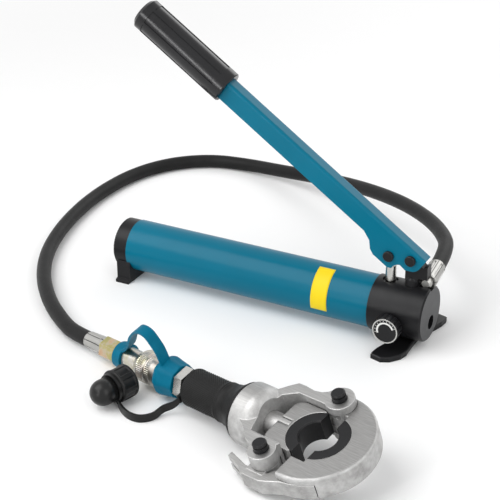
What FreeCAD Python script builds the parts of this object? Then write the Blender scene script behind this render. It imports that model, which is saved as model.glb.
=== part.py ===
# Hydraulic pipe crimper: a hand pump on two feet, a hose, and a crimp head with two die halves.
# Pump frame: X runs along the reservoir to the pump head, Z is up, and the origin is
# under the pump head at floor height. Head frame: X runs along the ram to the jaw.
import FreeCAD, Part
import math
import os
import Sketcher
from FreeCAD import Vector

os.makedirs("parts", exist_ok=True)
doc = FreeCAD.newDocument("pipe_crimper")
sheet = doc.addObject("Spreadsheet::Sheet", "Sizes")

# Driving dimensions, in millimetres and degrees.
SIZES = {
    # fits and clearances
    "run_fit": 0.05, "seat_gap": 0.3,
    # pump head and reservoir
    "axis_height": 33.5, "head_dia": 56, "head_front": 23, "head_len": 55.5, "head_chamfer": 1.5,
    "tube_dia": 53.5, "tube_wall": 2.5, "pump_len": 346, "spigot_len": 8,
    "cap_len": 16, "cap_spigot": 10, "cap_chamfer": 1.5, "cap_step": 0.5, "bladder_gap": 0.3, "bladder_round": 8,
    "filler_thread": 10, "filler_depth": 14, "filler_hex": 17, "filler_head": 3.5,
    # feet
    "foot_thick": 5.2, "foot_middle": 3, "foot_edge": 1, "foot_screw_dia": 4, "foot_screw_head": 7,
    "foot_screw_len": 12, "foot_screw_back": 1, "foot_screw_front": 7, "foot_web": 2,
    "saddle_at": 12.25, "saddle_wrap": 69.3, "saddle_wall": 1.2, "saddle_thick": 15.5, "saddle_drop": 2.9,
    "saddle_lip": 3.5, "saddle_lip_high": 3, "saddle_screw_dia": 5, "saddle_screw_at": 11,
    "saddle_screw_grip": 8.5,
    # plunger
    "plunger_back": 19.5, "plunger_dia": 10.6, "plunger_foot": 7.5, "bore_floor": 8,
    "gland_dia": 15, "gland_top": 25.8, "gland_depth": 11, "spot_face": 26.5, "spot_room": 9, "seal_len": 3,
    "seal_wall": 1.9,
    "eye_thick": 8, "eye_wall": 4, "slot_rear": 0.6, "slot_front": 4.2, "slot_clear": 0.35, "eye_neck": 8,
    # fulcrum and lever
    "fulcrum_at": 3, "pin_height": 90, "pin_dia": 7, "pin_head_dia": 10.5, "pin_head_len": 3,
    "post_dia": 14, "post_stub_dia": 10, "post_stub_len": 14, "tongue_low": 70, "tongue_width": 12,
    "tongue_thick": 10.2, "stop_reach": 16.5, "stop_top": 5, "stop_low": 19, "ring_thick": 1.2, "ring_wall": 2,
    "lever_width": 16, "lever_wall": 2.5, "lever_top": 9.5, "lever_low": 10.5, "lever_front": 11.5,
    "lobe_depth": 11, "lever_end": 343, "lever_raise": 34.5, "lever_bend": 3,
    "grip_dia": 33.2, "grip_len": 112, "grip_end": 355, "grip_round": 3,
    "grip_panels": 6, "grip_panel_half": 24, "grip_panel_deep": 0.8, "grip_rim": 11,
    # release valve
    "knob_back": 6.6, "knob_drop": 5.5, "knob_dia": 27, "knob_len": 12, "knob_face": 42, "knob_web": 2.5,
    "knob_scallops": 16, "knob_scallop_dia": 3, "knob_scallop_deep": 0.7,
    "knob_ring_dia": 25.6, "knob_ring_wall": 1.1, "knob_ring_len": 0.6,
    "stem_dia": 8, "stem_tip": 12, "ball_dia": 6,
    "plug_dia": 13.6, "plug_side": 2.4, "plug_drop": 10.3, "plug_len": 6, "plug_sink": 4, "plug_socket": 6,
    # outlet and hose
    "outlet_at": 16.2, "outlet_side": 9.1, "outlet_height": 64.6, "outlet_barrel": 11.6, "outlet_stem": 5.2,
    "outlet_near": 9.5, "outlet_far": 3.8, "outlet_round": 2, "outlet_depth": 16, "outlet_front": 3,
    "outlet_lead": 27.5, "notch_dia": 19.6, "notch_at": 15.65, "notch_height": 64.95, "notch_near": 2,
    "notch_far": 26, "hose_dia": 15.5, "ferrule_dia": 17.2, "ferrule_small": 16.4, "ferrule_large": 18.8,
    "ferrule_edge": 1, "crimp_grooves": 8, "crimp_groove": 2.4, "crimp_depth": 0.7, "crimp_rim": 4,
    # pose of the crimp head on the floor
    "crimp_x": 23.81, "crimp_y": -250.2, "crimp_z": 34.48, "crimp_yaw": -17.06, "crimp_pitch": 4.24,
    "crimp_roll": 16.53,
    # cylinder and yoke
    "cyl_dia": 57, "cyl_rear": 82, "cyl_front": 67, "dome_end": 52, "dome_rad": 15, "shank_dia": 28,
    "bell_rear": 110, "grip_rear": 152.7, "head_grip_dia": 36, "bell_dia": 54, "bell_inner": 38,
    "bore_dia": 31, "bore_rear": 98, "bore_front": 62, "rod_dia": 22, "oil_way": 8, "nose_stub": 14,
    "yoke_thick": 22, "arm_thick": 37, "window_clear": 0.5, "window_top": 26.6, "window_low": 27,
    "window_rear": 50, "window_slant_rear": 54, "window_slant_top": 42, "window_slant_at": 18, "window_rad": 60,
    "hinge_x": -5.4, "hinge_y": 37.3, "hinge_boss": 13.2, "latch_x": -26.8, "latch_y": -39.2,
    "latch_boss": 12.5, "cross_dia": 12.6, "cross_top": 26, "cross_low": 19.8, "cross_groove": 22.5,
    "cross_groove_wide": 1.6, "tongue": 10, "tongue_rad": 10.8, "yoke_rear": 68,
    # ram and dies
    "piston_rear": 92, "piston_len": 12, "ram_seal_len": 4, "ram_seal_wall": 2.5, "block_rear": 43,
    "block_half": 25.6, "block_round": 9.5, "block_nose": 3.4, "block_socket": 12,
    "block_pin_dia": 5, "block_pin_at": 37, "block_pin_low": 10.5, "block_pin_top": 6,
    "die_dia": 50, "die_bore": 29.4, "die_shift": 3.6, "die_chord": 5.4, "die_chamfer": 1,
    # jaw and latch
    "jaw_rad": 50, "jaw_end": 5, "jaw_half": 28.8, "jaw_bevel": 2.5, "bridge_in": 17, "bridge_out": 24,
    "latch_low": 10.6, "latch_high": 4.6, "lip_gap": 0.4, "latch_hub": 9.6, "latch_bar": 8.3,
    "latch_depth": 6, "latch_nose": -55, "latch_tail_x": -60, "latch_tail_y": -45.5, "latch_groove": 4,
    "tooth_at": -73, "tooth_half": 5, "tooth_depth": 1.8, "tooth_gap": 2.4, "nose_gap": 0.9,
    # coupler between hose and head
    "nipple_hex": 28, "nipple_front": 156.7, "nipple_collar": 166, "nipple_tail": 195, "nipple_tail_dia": 16,
    "coupler_front": 168, "coupler_dia": 24, "coupler_step": 215, "sleeve_front": 187.5, "sleeve_rear": 224,
    "sleeve_taper": 218, "sleeve_tail_dia": 22.8, "sleeve_dia": 31,
    "neck_dia": 20.8, "neck_rear": 242.5, "coupler_stub": 16, "hex_front": 254.5, "hex_rear": 275.5,
    "hose_hex": 19.7, "stub_wall": 2, "stub_depth": 11, "hose_bore": 8, "shell_rear": 302, "hose_lead": 24,
    # dust caps
    "collar_rear": 191, "collar_rear_dia": 34, "collar_crown": 186, "collar_dia": 36.4, "collar_waist": 176,
    "collar_waist_dia": 33, "collar_front_dia": 31, "band_wide": 11, "band_thick": 2.2,
    "band_ring_front": 243, "band_ring_rear": 253, "band_ring_dia": 26,
    "cap_x": -196.7, "cap_y": -241.1, "cap_turn": 73.7, "dust_dia": 31.6, "dust_ball": 24.4, "dust_edge": 1,
    "dust_long": 30, "dust_body_at": 12.5, "dust_waist": 4.6, "dust_waist_deep": 1.5, "dust_bore": 26,
    "dust_depth": 15, "dust_clear": 0.2,
    "strap_thick": 2, "strap_tall": 7.5, "strap_ring_front": 153.6, "strap_ring_rear": 156.4,
    "strap_ring_dia": 26, "strap_reach": 18, "loop_wall": 2.6, "loop_wide": 3, "loop_reach": 14.5,
    "loop_lean": 0.605, "loop_drop": 0.796,
}
# Points that the hose follows, from the outlet to the head; its ends come from the fittings.
HOSE_POINTS = [
    (11, 75, 67.9), (-9, 112, 65.5), (-42, 150, 61), (-89, 190, 53), (-150, 231, 40), (-215, 263, 26),
    (-278, 285, 14), (-330, 295, 8.6), (-378, 288, 8.2), (-418, 257, 8.2), (-442, 209, 8.2), (-449, 152, 8.2),
    (-446, 95, 8.2), (-434, 36, 8.2), (-414, -20, 8.2), (-384, -70, 8.2), (-345, -113, 8.8), (-309, -141, 9.2),
]
# Points that the black strap follows on the floor, from the cap to the coupler.
STRAP_POINTS = [
    (-172.4, -244.1, 4.1), (-161.5, -247.6, 4.1), (-156.5, -247.2, 4.1), (-151.3, -244.3, 4.1),
    (-145.7, -236.4, 4.4), (-142.3, -226.3, 6.5), (-136, -224, 10),
]
# Points that the blue strap follows over the coupler, along and above the head's axis.
BAND_POINTS = [
    (-184.3, 16.5), (-185, 24), (-186.1, 33.6), (-189.5, 41.3), (-194.2, 48.4), (-201.4, 50.2), (-205.1, 49.6),
    (-213.6, 43.6), (-220.3, 36.5), (-227.7, 25.5), (-237.5, 15), (-246, 10.6),
]
# Half of the front foot's outline, from its middle; the other half is the same turned by half a turn.
FOOT_POINTS = [
    (8.2, -10), (8.6, -20), (9.3, -31), (7.3, -40), (-0.2, -50), (-8.5, -54), (-19.8, -50.8), (-20.5, -46.7),
    (-19.4, -37.3), (-16, -26.6), (-9, -8),
]
# Upper edge of the yoke's arm, from the hinge to the cylinder.
ARM_POINTS = [
    (-9.5, 9.6), (-12, 5.5), (-14.1, 2.2), (-18.8, -1), (-26.2, -2.4), (-37.2, -1.3), (-44.5, -1.6), (-49.8, -7),
    (-54.6, -13.1),
]

for row, (name, value) in enumerate(SIZES.items(), 1):
    sheet.set("A%d" % row, name)
    sheet.set("B%d" % row, str(value))
    sheet.setAlias("B%d" % row, name)
doc.recompute()

made = {}


def bind(text):
    """Turn names of sizes into references to the sheet."""
    words = []
    word = ""
    for letter in str(text) + " ":
        if letter.isalnum() or letter == "_" or (letter == "." and word and word[0].isdigit()):
            word += letter
        else:
            words.append("Sizes." + word if word in SIZES else word)
            words.append(letter)
            word = ""
    return "".join(words).strip()


def size(text):
    """Value of an expression written with names of sizes."""
    return float(sheet.evalExpression(bind(text)))


def new_body(name, x="0", y="0", z="0", turn=None):
    body = doc.addObject("PartDesign::Body", name)
    body.Label = name
    place = FreeCAD.Placement(Vector(size(x), size(y), size(z)), turn or FreeCAD.Rotation())
    body.Placement = place
    made[name] = body
    return body


def plain_part(name, shape):
    """A part made of plain shapes, in the frame of the pump."""
    item = doc.addObject("Part::Feature", name)
    item.Label = name
    item.Shape = shape
    made[name] = item


def head_placement():
    turn = FreeCAD.Rotation(size("crimp_yaw"), -size("crimp_pitch"), size("crimp_roll"))
    return FreeCAD.Placement(Vector(size("crimp_x"), size("crimp_y"), size("crimp_z")), turn)


def head_body(name, x="0", y="0", turn=0):
    """A body in the frame of the crimp head."""
    body = new_body(name)
    local = FreeCAD.Placement(Vector(size(x), size(y), 0), FreeCAD.Rotation(Vector(0, 0, 1), turn))
    body.Placement = head_placement().multiply(local)
    return body


def sketch_on(body, role, offset="0"):
    sketch = body.newObject("Sketcher::SketchObject", body.Name + "_sketch")
    plane = [item for item in body.Origin.OriginFeatures if item.Role == role][0]
    sketch.AttachmentSupport = (plane, [""])
    sketch.MapMode = "FlatFace"
    sketch.setExpression("AttachmentOffset.Base.z", bind(offset))
    return sketch


def hold(sketch, item, end, x, y):
    for kind, text in (("DistanceX", x), ("DistanceY", y)):
        index = sketch.addConstraint(Sketcher.Constraint(kind, -1, 1, item, end, size(text)))
        sketch.setExpression("Constraints[%d]" % index, bind(text))


def add_circle(sketch, x, y, dia):
    item = sketch.addGeometry(Part.Circle(Vector(size(x), size(y), 0), Vector(0, 0, 1), size(dia) / 2))
    hold(sketch, item, 3, x, y)
    index = sketch.addConstraint(Sketcher.Constraint("Diameter", item, size(dia)))
    sketch.setExpression("Constraints[%d]" % index, bind(dia))


def arc_between(first, last, radius, side):
    """Arc of less than half a turn; side 1 turns left and -1 turns right."""
    chord = last - first
    rise = math.sqrt(max(radius ** 2 - (chord.Length / 2) ** 2, 0))
    left = Vector(-chord.y, chord.x, 0).normalize()
    centre = (first + last) * 0.5 + left * rise * side
    ends = (first, last) if side > 0 else (last, first)
    angles = [math.atan2(end.y - centre.y, end.x - centre.x) for end in ends]
    return Part.ArcOfCircle(Part.Circle(centre, Vector(0, 0, 1), radius), angles[0], angles[1])


def add_outline(sketch, corners):
    """A closed outline. A corner is (x, y), or (x, y, radius, side) where an arc starts."""
    spots = [Vector(size(corner[0]), size(corner[1]), 0) for corner in corners]
    ends = []
    for number, corner in enumerate(corners):
        first, last = spots[number], spots[(number + 1) % len(spots)]
        if len(corner) == 2:
            item = sketch.addGeometry(Part.LineSegment(first, last))
            ends.append((item, 1, 2))
            continue
        item = sketch.addGeometry(arc_between(first, last, size(corner[2]), corner[3]))
        ends.append((item, 1, 2) if corner[3] > 0 else (item, 2, 1))
    for number, (item, start, end) in enumerate(ends):
        after = ends[(number + 1) % len(ends)]
        sketch.addConstraint(Sketcher.Constraint("Coincident", item, end, after[0], after[1]))
    for (item, start, end), corner in zip(ends, corners):
        hold(sketch, item, start, corner[0], corner[1])
        if len(corner) == 4:
            index = sketch.addConstraint(Sketcher.Constraint("Radius", item, size(corner[2])))
            sketch.setExpression("Constraints[%d]" % index, bind(corner[2]))


def feature(body, kind, sketch, length=None):
    item = body.newObject("PartDesign::" + kind, body.Name + "_" + kind.lower())
    item.Profile = sketch
    if length is not None:
        item.Midplane = True
        item.setExpression("Length", bind(length))
    sketch.Visibility = False
    return item


def turned(body, axis, corners, kind="Revolution"):
    """Turn an outline about X (outline in X and radius) or about Y or Z (radius and height)."""
    role = "XZ_Plane" if axis == "Z" else "XY_Plane"
    sketch = sketch_on(body, role)
    add_outline(sketch, corners)
    item = feature(body, kind, sketch)
    item.ReferenceAxis = (sketch, ["H_Axis" if axis == "X" else "V_Axis"])
    item.Angle = 360
    return item


def padded(body, role, corners, length, offset="0"):
    sketch = sketch_on(body, role, offset)
    add_outline(sketch, corners)
    return feature(body, "Pad", sketch, length)


def pocketed(body, role, corners, length, offset="0"):
    sketch = sketch_on(body, role, offset)
    add_outline(sketch, corners)
    return feature(body, "Pocket", sketch, length)


def disc(body, role, spots, dia, length, offset="0", kind="Pad"):
    """Round pads or holes at the given spots."""
    sketch = sketch_on(body, role, offset)
    for x, y in spots:
        add_circle(sketch, x, y, dia)
    return feature(body, kind, sketch, length)


def holes(body, role, spots, dia, length, offset="0"):
    return disc(body, role, spots, dia, length, offset, "Pocket")


def around(body, item, axis, count):
    """Repeat a feature round an axis of the body."""
    doc.recompute()
    pattern = body.newObject("PartDesign::PolarPattern", body.Name + "_pattern")
    pattern.Originals = [item]
    pattern.Axis = (item.Profile[0], [axis])
    pattern.Angle = 360
    pattern.setExpression("Occurrences", bind(count))
    body.Tip = pattern
    return pattern


def soften(body, name, radius, wanted, kind="Fillet"):
    """Round or bevel the edges that the test picks."""
    doc.recompute()
    base = body.Tip
    picks = ["Edge%d" % (n + 1) for n, edge in enumerate(base.Shape.Edges) if wanted(edge)]
    item = body.newObject("PartDesign::" + kind, body.Name + "_" + name)
    item.Base = (base, picks)
    item.setExpression("Radius" if kind == "Fillet" else "Size", bind(radius))
    return item


def is_arc(edge, radius):
    return isinstance(edge.Curve, Part.Circle) and abs(edge.Curve.Radius - radius) < 0.01


def box_corners(low_x, low_y, high_x, high_y):
    return [(low_x, low_y), (high_x, low_y), (high_x, high_y), (low_x, high_y)]


def tube_corners(low, high, inner, outer):
    """Outline of a ring or tube that is turned about X."""
    return box_corners(low, inner, high, outer)


def hexagon(flats):
    return [("%s / 2 / cos(30) * cos(%d)" % (flats, k * 60), "%s / 2 / cos(30) * sin(%d)" % (flats, k * 60))
            for k in range(6)]


OUTLET_STEM_Y = "outlet_side - (outlet_near + outlet_far) / 2"


def make_pump_head():
    body = new_body("pump_head", z="axis_height")
    back = "head_front - head_len"
    spigot = "tube_dia / 2 - tube_wall - run_fit"
    turned(body, "X", [
        (back + " - spigot_len", "0"), (back + " - spigot_len", spigot), (back, spigot), (back, "head_dia / 2"),
        ("head_front - head_chamfer", "head_dia / 2"), ("head_front", "head_dia / 2 - head_chamfer"),
        ("head_front", "0"),
    ])
    # notch across the top for the outlet and its ferrule
    holes(body, "XZ_Plane", [("notch_at", "notch_height - axis_height")], "notch_dia", "notch_far + notch_near",
          "(notch_near - notch_far) / 2")
    # flat seat for the post, then bores: plunger, gland, post thread and outlet
    holes(body, "XY_Plane", [("fulcrum_at", "0")], "post_dia + 1", "spot_room", "spot_face + spot_room / 2")
    holes(body, "XY_Plane", [("-plunger_back", "0")], "plunger_dia + 2 * run_fit", "spot_face + bore_floor",
          "(spot_face - bore_floor) / 2")
    holes(body, "XY_Plane", [("-plunger_back", "0")], "gland_dia + 2 * seat_gap", "gland_depth + spot_room",
          "spot_face + (spot_room - gland_depth) / 2")
    holes(body, "XY_Plane", [("fulcrum_at", "0")], "post_stub_dia + 2 * seat_gap", "post_stub_len + 1",
          "spot_face - (post_stub_len + 1) / 2")
    holes(body, "XY_Plane", [("outlet_at", OUTLET_STEM_Y)], "outlet_stem + 2 * seat_gap", "outlet_depth",
          "head_dia / 2 - outlet_depth / 2")
    # release valve bore from the operator's side
    holes(body, "XZ_Plane", [("-knob_back", "-knob_drop")], "stem_dia + 2 * run_fit",
          "head_dia / 2 - stem_tip + ball_dia + 2", "(head_dia / 2 + stem_tip - ball_dia) / 2")
    # relief plug in the end face
    holes(body, "YZ_Plane", [("plug_side", "-plug_drop")], "plug_dia + 2 * seat_gap", "plug_len + plug_sink + 0.5",
          "head_front - (plug_len + plug_sink + 0.5) / 2")
    # threads for the foot screws
    holes(body, "XY_Plane", [("-foot_screw_back", "0"), ("foot_screw_front", "0")],
          "foot_screw_dia + 2 * seat_gap", "foot_screw_len", "-head_dia / 2 + foot_screw_len / 2")


def make_front_foot():
    body = new_body("front_foot", x="foot_middle")
    far_half = [(-x, -y) for x, y in FOOT_POINTS]
    padded(body, "XY_Plane", [(str(x), str(y)) for x, y in FOOT_POINTS + far_half], "foot_thick", "foot_thick / 2")
    spots = [("-foot_screw_back - foot_middle", "0"), ("foot_screw_front - foot_middle", "0")]
    holes(body, "XY_Plane", spots, "foot_screw_dia + 2 * seat_gap", "4 * foot_thick")
    holes(body, "XY_Plane", spots, "foot_screw_head + 2 * seat_gap", "2 * (foot_thick - foot_web)")
    soften(body, "edge", "foot_edge", lambda e: e.BoundBox.ZMin > size("foot_thick") - 0.01 and len(e.Vertexes) == 2,
           "Chamfer")


def make_foot_screws():
    group = []
    crown_len = size("foot_thick - foot_web - seat_gap")
    shaft_len = size("foot_thick + foot_screw_len - 1")
    for x in ("-foot_screw_back", "foot_screw_front"):
        low = Vector(size(x), 0, size("seat_gap"))
        shaft = Part.makeCylinder(size("foot_screw_dia / 2"), shaft_len, low)
        crown = Part.makeCylinder(size("foot_screw_head / 2"), crown_len, low)
        group.append(shaft.fuse(crown).removeSplitter())
    plain_part("front_foot_screws", Part.makeCompound(group))


def cap_back():
    return "(head_front - pump_len)"


def make_reservoir():
    tube = new_body("reservoir_tube", z="axis_height")
    turned(tube, "X", tube_corners(cap_back() + " + cap_len", "head_front - head_len",
                                   "tube_dia / 2 - tube_wall", "tube_dia / 2"))
    bladder = new_body("oil_bladder", z="axis_height")
    low, high = cap_back() + " + cap_len + cap_spigot + 2", "head_front - head_len - spigot_len - 2"
    outer = "tube_dia / 2 - tube_wall - bladder_gap"
    turned(bladder, "X", [
        (low, "0"), (low, outer + " - bladder_round"), (low + " + 6", outer), (high + " - 6", outer),
        (high, outer + " - bladder_round"), (high, "0"),
    ])


def make_rear_cap():
    cap = new_body("rear_cap", z="axis_height")
    back, inner = cap_back(), "filler_thread / 2 + seat_gap"
    edge, spigot = "tube_dia / 2 - cap_step", "tube_dia / 2 - tube_wall - run_fit"
    turned(cap, "X", [
        (back, inner), (back, edge + " - cap_chamfer"), (back + " + cap_chamfer", edge),
        (back + " + cap_len", edge), (back + " + cap_len", spigot), (back + " + cap_len + cap_spigot", spigot),
        (back + " + cap_len + cap_spigot", inner),
    ])
    holes(cap, "XY_Plane", [(back + " + saddle_screw_at", "0")], "saddle_screw_dia + 2 * seat_gap",
          "2 * (saddle_screw_grip + 1)", "-tube_dia / 2")
    plug = new_body("filler_plug", x=back, z="axis_height")
    padded(plug, "YZ_Plane", hexagon("filler_hex"), "filler_head", "-seat_gap - filler_head / 2")
    disc(plug, "YZ_Plane", [("0", "0")], "filler_thread", "filler_depth", "filler_depth / 2 - seat_gap - 0.5")


def make_rear_foot():
    foot = new_body("rear_foot", x=cap_back() + " + saddle_at")
    rad = "(tube_dia / 2 + seat_gap)"
    horn, rim = rad + " * sin(saddle_wrap)", "axis_height - %s * cos(saddle_wrap)" % rad
    half, side = "(%s + saddle_wall)" % horn, rim + " - saddle_drop"
    lip = half + " + saddle_lip"
    padded(foot, "YZ_Plane", [
        ("-(%s)" % lip, "0"), (lip, "0"), (lip, "saddle_lip_high"), (half, "saddle_lip_high + 1.5"), (half, side),
        (horn, rim, rad, -1), ("0", "axis_height - " + rad, rad, -1), ("-" + horn, rim),
        ("-" + half, side), ("-" + half, "saddle_lip_high + 1.5"), ("-(%s)" % lip, "saddle_lip_high"),
    ], "saddle_thick")
    holes(foot, "XY_Plane", [("saddle_screw_at - saddle_at", "0")], "saddle_screw_dia + 2 * seat_gap", "60")
    screw = new_body("rear_foot_screw", x=cap_back() + " + saddle_screw_at")
    turned(screw, "Z", box_corners("0", "seat_gap", "saddle_screw_dia / 2",
                                   "axis_height - tube_dia / 2 + saddle_screw_grip"))


def make_plunger():
    rod = new_body("plunger", x="-plunger_back", z="axis_height")
    top = "pin_height - axis_height"
    turned(rod, "Z", [
        ("0", "plunger_foot"), ("plunger_dia / 2 - 1", "plunger_foot"), ("plunger_dia / 2", "plunger_foot + 1"),
        ("plunger_dia / 2", top + " - eye_neck"), ("0", top + " - eye_neck"),
    ])
    # flat eye with a level slot, which lets the pin follow the lever's arc
    slot = "(pin_dia / 2 + slot_clear)"
    wall = "(pin_dia / 2 + slot_clear + eye_wall)"
    rear, front = "-slot_rear", "slot_front"

    def round_slot(radius, shift):
        return [
            (rear, "%s - %s" % (shift, radius)), (front, "%s - %s" % (shift, radius), radius, 1),
            ("%s + %s" % (front, radius), shift, radius, 1), (front, "%s + %s" % (shift, radius)),
            (rear, "%s + %s" % (shift, radius), radius, 1), ("%s - %s" % (rear, radius), shift, radius, 1),
        ]
    padded(rod, "XZ_Plane", round_slot(wall, top), "eye_thick")
    padded(rod, "XZ_Plane", box_corners("-plunger_dia / 2", top + " - eye_neck - 4", "plunger_dia / 2",
                                        top + " - 4.5"), "eye_thick")
    pocketed(rod, "XZ_Plane", round_slot(slot, top), "4 * eye_thick")


def make_gland():
    """Round bushing sunk in the head over the plunger's seal."""
    gland = new_body("plunger_gland", x="-plunger_back", z="axis_height")
    bottom = "spot_face - gland_depth + seal_len + 1"
    turned(gland, "Z", [
        ("plunger_dia / 2 + run_fit", bottom), ("gland_dia / 2", bottom), ("gland_dia / 2", "gland_top - 0.5"),
        ("gland_dia / 2 - 0.5", "gland_top"), ("plunger_dia / 2 + run_fit", "gland_top"),
    ])
    seal = new_body("plunger_seal", x="-plunger_back", z="axis_height")
    low = "spot_face - gland_depth + seat_gap"
    turned(seal, "Z", box_corners("plunger_dia / 2 + run_fit", low, "plunger_dia / 2 + seal_wall",
                                  low + " + seal_len"))


def make_post():
    post = new_body("fulcrum_post", x="fulcrum_at", z="0")
    seat = "axis_height + spot_face + seat_gap"
    rim, half = "post_dia / 2", "tongue_width / 2"
    turned(post, "Z", [
        ("0", seat + " - post_stub_len"), ("post_stub_dia / 2", seat + " - post_stub_len"),
        ("post_stub_dia / 2", seat), (rim, seat), (rim, "tongue_low - 2"), (rim + " - 1", "tongue_low"),
        ("0", "tongue_low"),
    ])
    # flat tongue with the lever's stop on its front
    padded(post, "XZ_Plane", [
        ("-" + half, "tongue_low - 3"), (half, "tongue_low - 3"), (half + " + 1", "pin_height - stop_low"),
        ("stop_reach", "pin_height - stop_low"), ("stop_reach", "pin_height - stop_top"),
        ("2 * " + half, "pin_height - stop_top - 2"), (half + " + 2.5", "pin_height - 3"),
        (half, "pin_height", half, 1), ("0", "pin_height + " + half, half, 1), ("-" + half, "pin_height"),
    ], "tongue_thick")
    holes(post, "XZ_Plane", [("0", "pin_height")], "pin_dia + 2 * run_fit", "60")


def lever_turn():
    return FreeCAD.Rotation(Vector(0, 1, 0), size("lever_raise"))


def lever_body(name):
    body = new_body(name, x="fulcrum_at", z="pin_height")
    body.Placement.Rotation = lever_turn()
    return body


PIN_X = "-(plunger_back + fulcrum_at) * cos(lever_raise)"
PIN_Z = "-(plunger_back + fulcrum_at) * sin(lever_raise)"


def make_lever():
    lever = lever_body("handle_lever")
    low, nose = "-lever_low", "lever_front"
    deep = "%s - lobe_depth" % PIN_Z
    padded(lever, "XZ_Plane", [
        ("-lever_end", low), ("%s - 34" % PIN_X, low), ("%s - 24" % PIN_X, low + " - 4"),
        ("%s - 18" % PIN_X, deep + " + 2.5"), ("%s - 12.5" % PIN_X, deep), ("%s + 6" % PIN_X, deep),
        ("%s + 9.5" % PIN_X, deep + " + 2.5", "10", -1), ("-5", "-12"), ("2", "-12.5"),
        ("8.5", "-8", nose, 1), (nose, "0"), (nose, "lever_top"), ("-lever_end", "lever_top"),
    ], "lever_width")
    # the channel is open below and at both ends
    pocketed(lever, "XZ_Plane", box_corners("-lever_end - 5", "-60", "lever_front + 5", "lever_top - lever_wall"),
             "lever_width - 2 * lever_wall")
    holes(lever, "XZ_Plane", [("0", "0"), (PIN_X, PIN_Z)], "pin_dia + 2 * run_fit", "60")
    soften(lever, "bend", "lever_bend", lambda e: e.Length > size("lever_end")
           and e.BoundBox.ZMin > size("lever_top") - 0.01
           and abs(abs(e.BoundBox.Center.y) - size("lever_width") / 2) < 0.01)


def make_grip():
    grip = lever_body("handle_grip")
    start, end, rad = "-grip_end + grip_len", "-grip_end", "grip_dia / 2"
    turned(grip, "X", [
        (end, "0"), (end, rad + " - grip_round"), (end + " + grip_round", rad), (start + " - 1", rad),
        (start, rad + " - 1"), (start, "0"),
    ])
    pocketed(grip, "YZ_Plane", box_corners("-lever_width / 2 - seat_gap", "-lever_low - seat_gap",
                                           "lever_width / 2 + seat_gap", "lever_top + seat_gap"),
             "lever_end - (grip_end - grip_len) + 6", "(-lever_end - 1 + %s + 5) / 2" % start)
    # wide shallow panels between ribs
    floor, first, last = rad + " - grip_panel_deep", "90 - grip_panel_half", "90 + grip_panel_half"
    panel = pocketed(grip, "YZ_Plane", [
        polar(floor, first) + (floor, 1), polar(floor, last), polar(rad + " + 3", last), polar(rad + " + 3", first),
    ], "grip_len - 2 * grip_rim", "-grip_end + grip_len / 2")
    around(grip, panel, "N_Axis", "grip_panels")


def make_pivot_pins():
    side = "lever_width / 2 + seat_gap"
    tip = side + " + ring_thick + 2"
    for name, x, z in (("fulcrum_pin", "fulcrum_at", "pin_height"), ("plunger_pin", "-plunger_back", "pin_height")):
        pin = new_body(name, x=x, z=z)
        turned(pin, "Y", [
            ("0", "-(%s) - pin_head_len" % side), ("pin_head_dia / 2 - 0.6", "-(%s) - pin_head_len" % side),
            ("pin_head_dia / 2", "-(%s) - pin_head_len + 0.6" % side), ("pin_head_dia / 2", "-(%s)" % side),
            ("pin_dia / 2", "-(%s)" % side), ("pin_dia / 2", tip), ("0", tip),
        ])
    group = []
    for x in ("fulcrum_at", "-plunger_back"):
        spot = Vector(size(x), size(side), size("pin_height"))
        outer = Part.makeCylinder(size("pin_dia / 2 + ring_wall"), size("ring_thick"), spot, Vector(0, 1, 0))
        inner = Part.makeCylinder(size("pin_dia / 2 + run_fit"), size("ring_thick"), spot, Vector(0, 1, 0))
        group.append(outer.cut(inner))
    plain_part("retaining_rings", Part.makeCompound(group))


def make_release_valve():
    at = {"x": "-knob_back", "z": "axis_height - knob_drop"}
    knob = new_body("release_knob", **at)
    rad, face, back = "knob_dia / 2", "-knob_face", "-knob_face + knob_len"
    turned(knob, "Y", [
        ("0", face), (rad + " - 0.5", face), (rad, face + " + 0.5"), (rad, back + " - 2"), (rad + " - 3", back),
        ("stem_dia / 2 + seat_gap", back), ("stem_dia / 2 + seat_gap", face + " + knob_web"),
        ("0", face + " + knob_web"),
    ])
    scallop = holes(knob, "XZ_Plane", [("0", rad + " + knob_scallop_dia / 2 - knob_scallop_deep")],
                    "knob_scallop_dia", "3 * knob_len", "knob_face")
    around(knob, scallop, "N_Axis", "knob_scallops")
    ring = new_body("knob_ring", **at)
    turned(ring, "Y", box_corners("knob_ring_dia / 2 - knob_ring_wall", "-knob_face - knob_ring_len - run_fit",
                                  "knob_ring_dia / 2", "-knob_face - run_fit"))
    stem = new_body("release_stem", **at)
    turned(stem, "Y", [
        ("0", "-knob_face + knob_web + seat_gap"), ("stem_dia / 2", "-knob_face + knob_web + seat_gap"),
        ("stem_dia / 2", "-stem_tip - 3"), ("1.2", "-stem_tip"), ("0", "-stem_tip"),
    ])
    ball = new_body("valve_ball", **at)
    middle = "-stem_tip + seat_gap + ball_dia / 2"
    turned(ball, "Y", [
        ("0", middle + " - ball_dia / 2", "ball_dia / 2", 1), ("ball_dia / 2", middle, "ball_dia / 2", 1),
        ("0", middle + " + ball_dia / 2"),
    ])


def make_relief_plug():
    plug = new_body("relief_plug", x="head_front - plug_sink", y="plug_side", z="axis_height - plug_drop")
    disc(plug, "YZ_Plane", [("0", "0")], "plug_dia", "plug_len", "-plug_len / 2")
    pocketed(plug, "YZ_Plane", hexagon("plug_socket"), "10", "0")


def outlet_direction():
    """Direction in which the hose leaves the outlet."""
    first = Vector(*HOSE_POINTS[0])
    return (first - outlet_centre()).normalize()


def outlet_centre():
    return Vector(size("outlet_at"), size("outlet_side"), size("outlet_height"))


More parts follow.
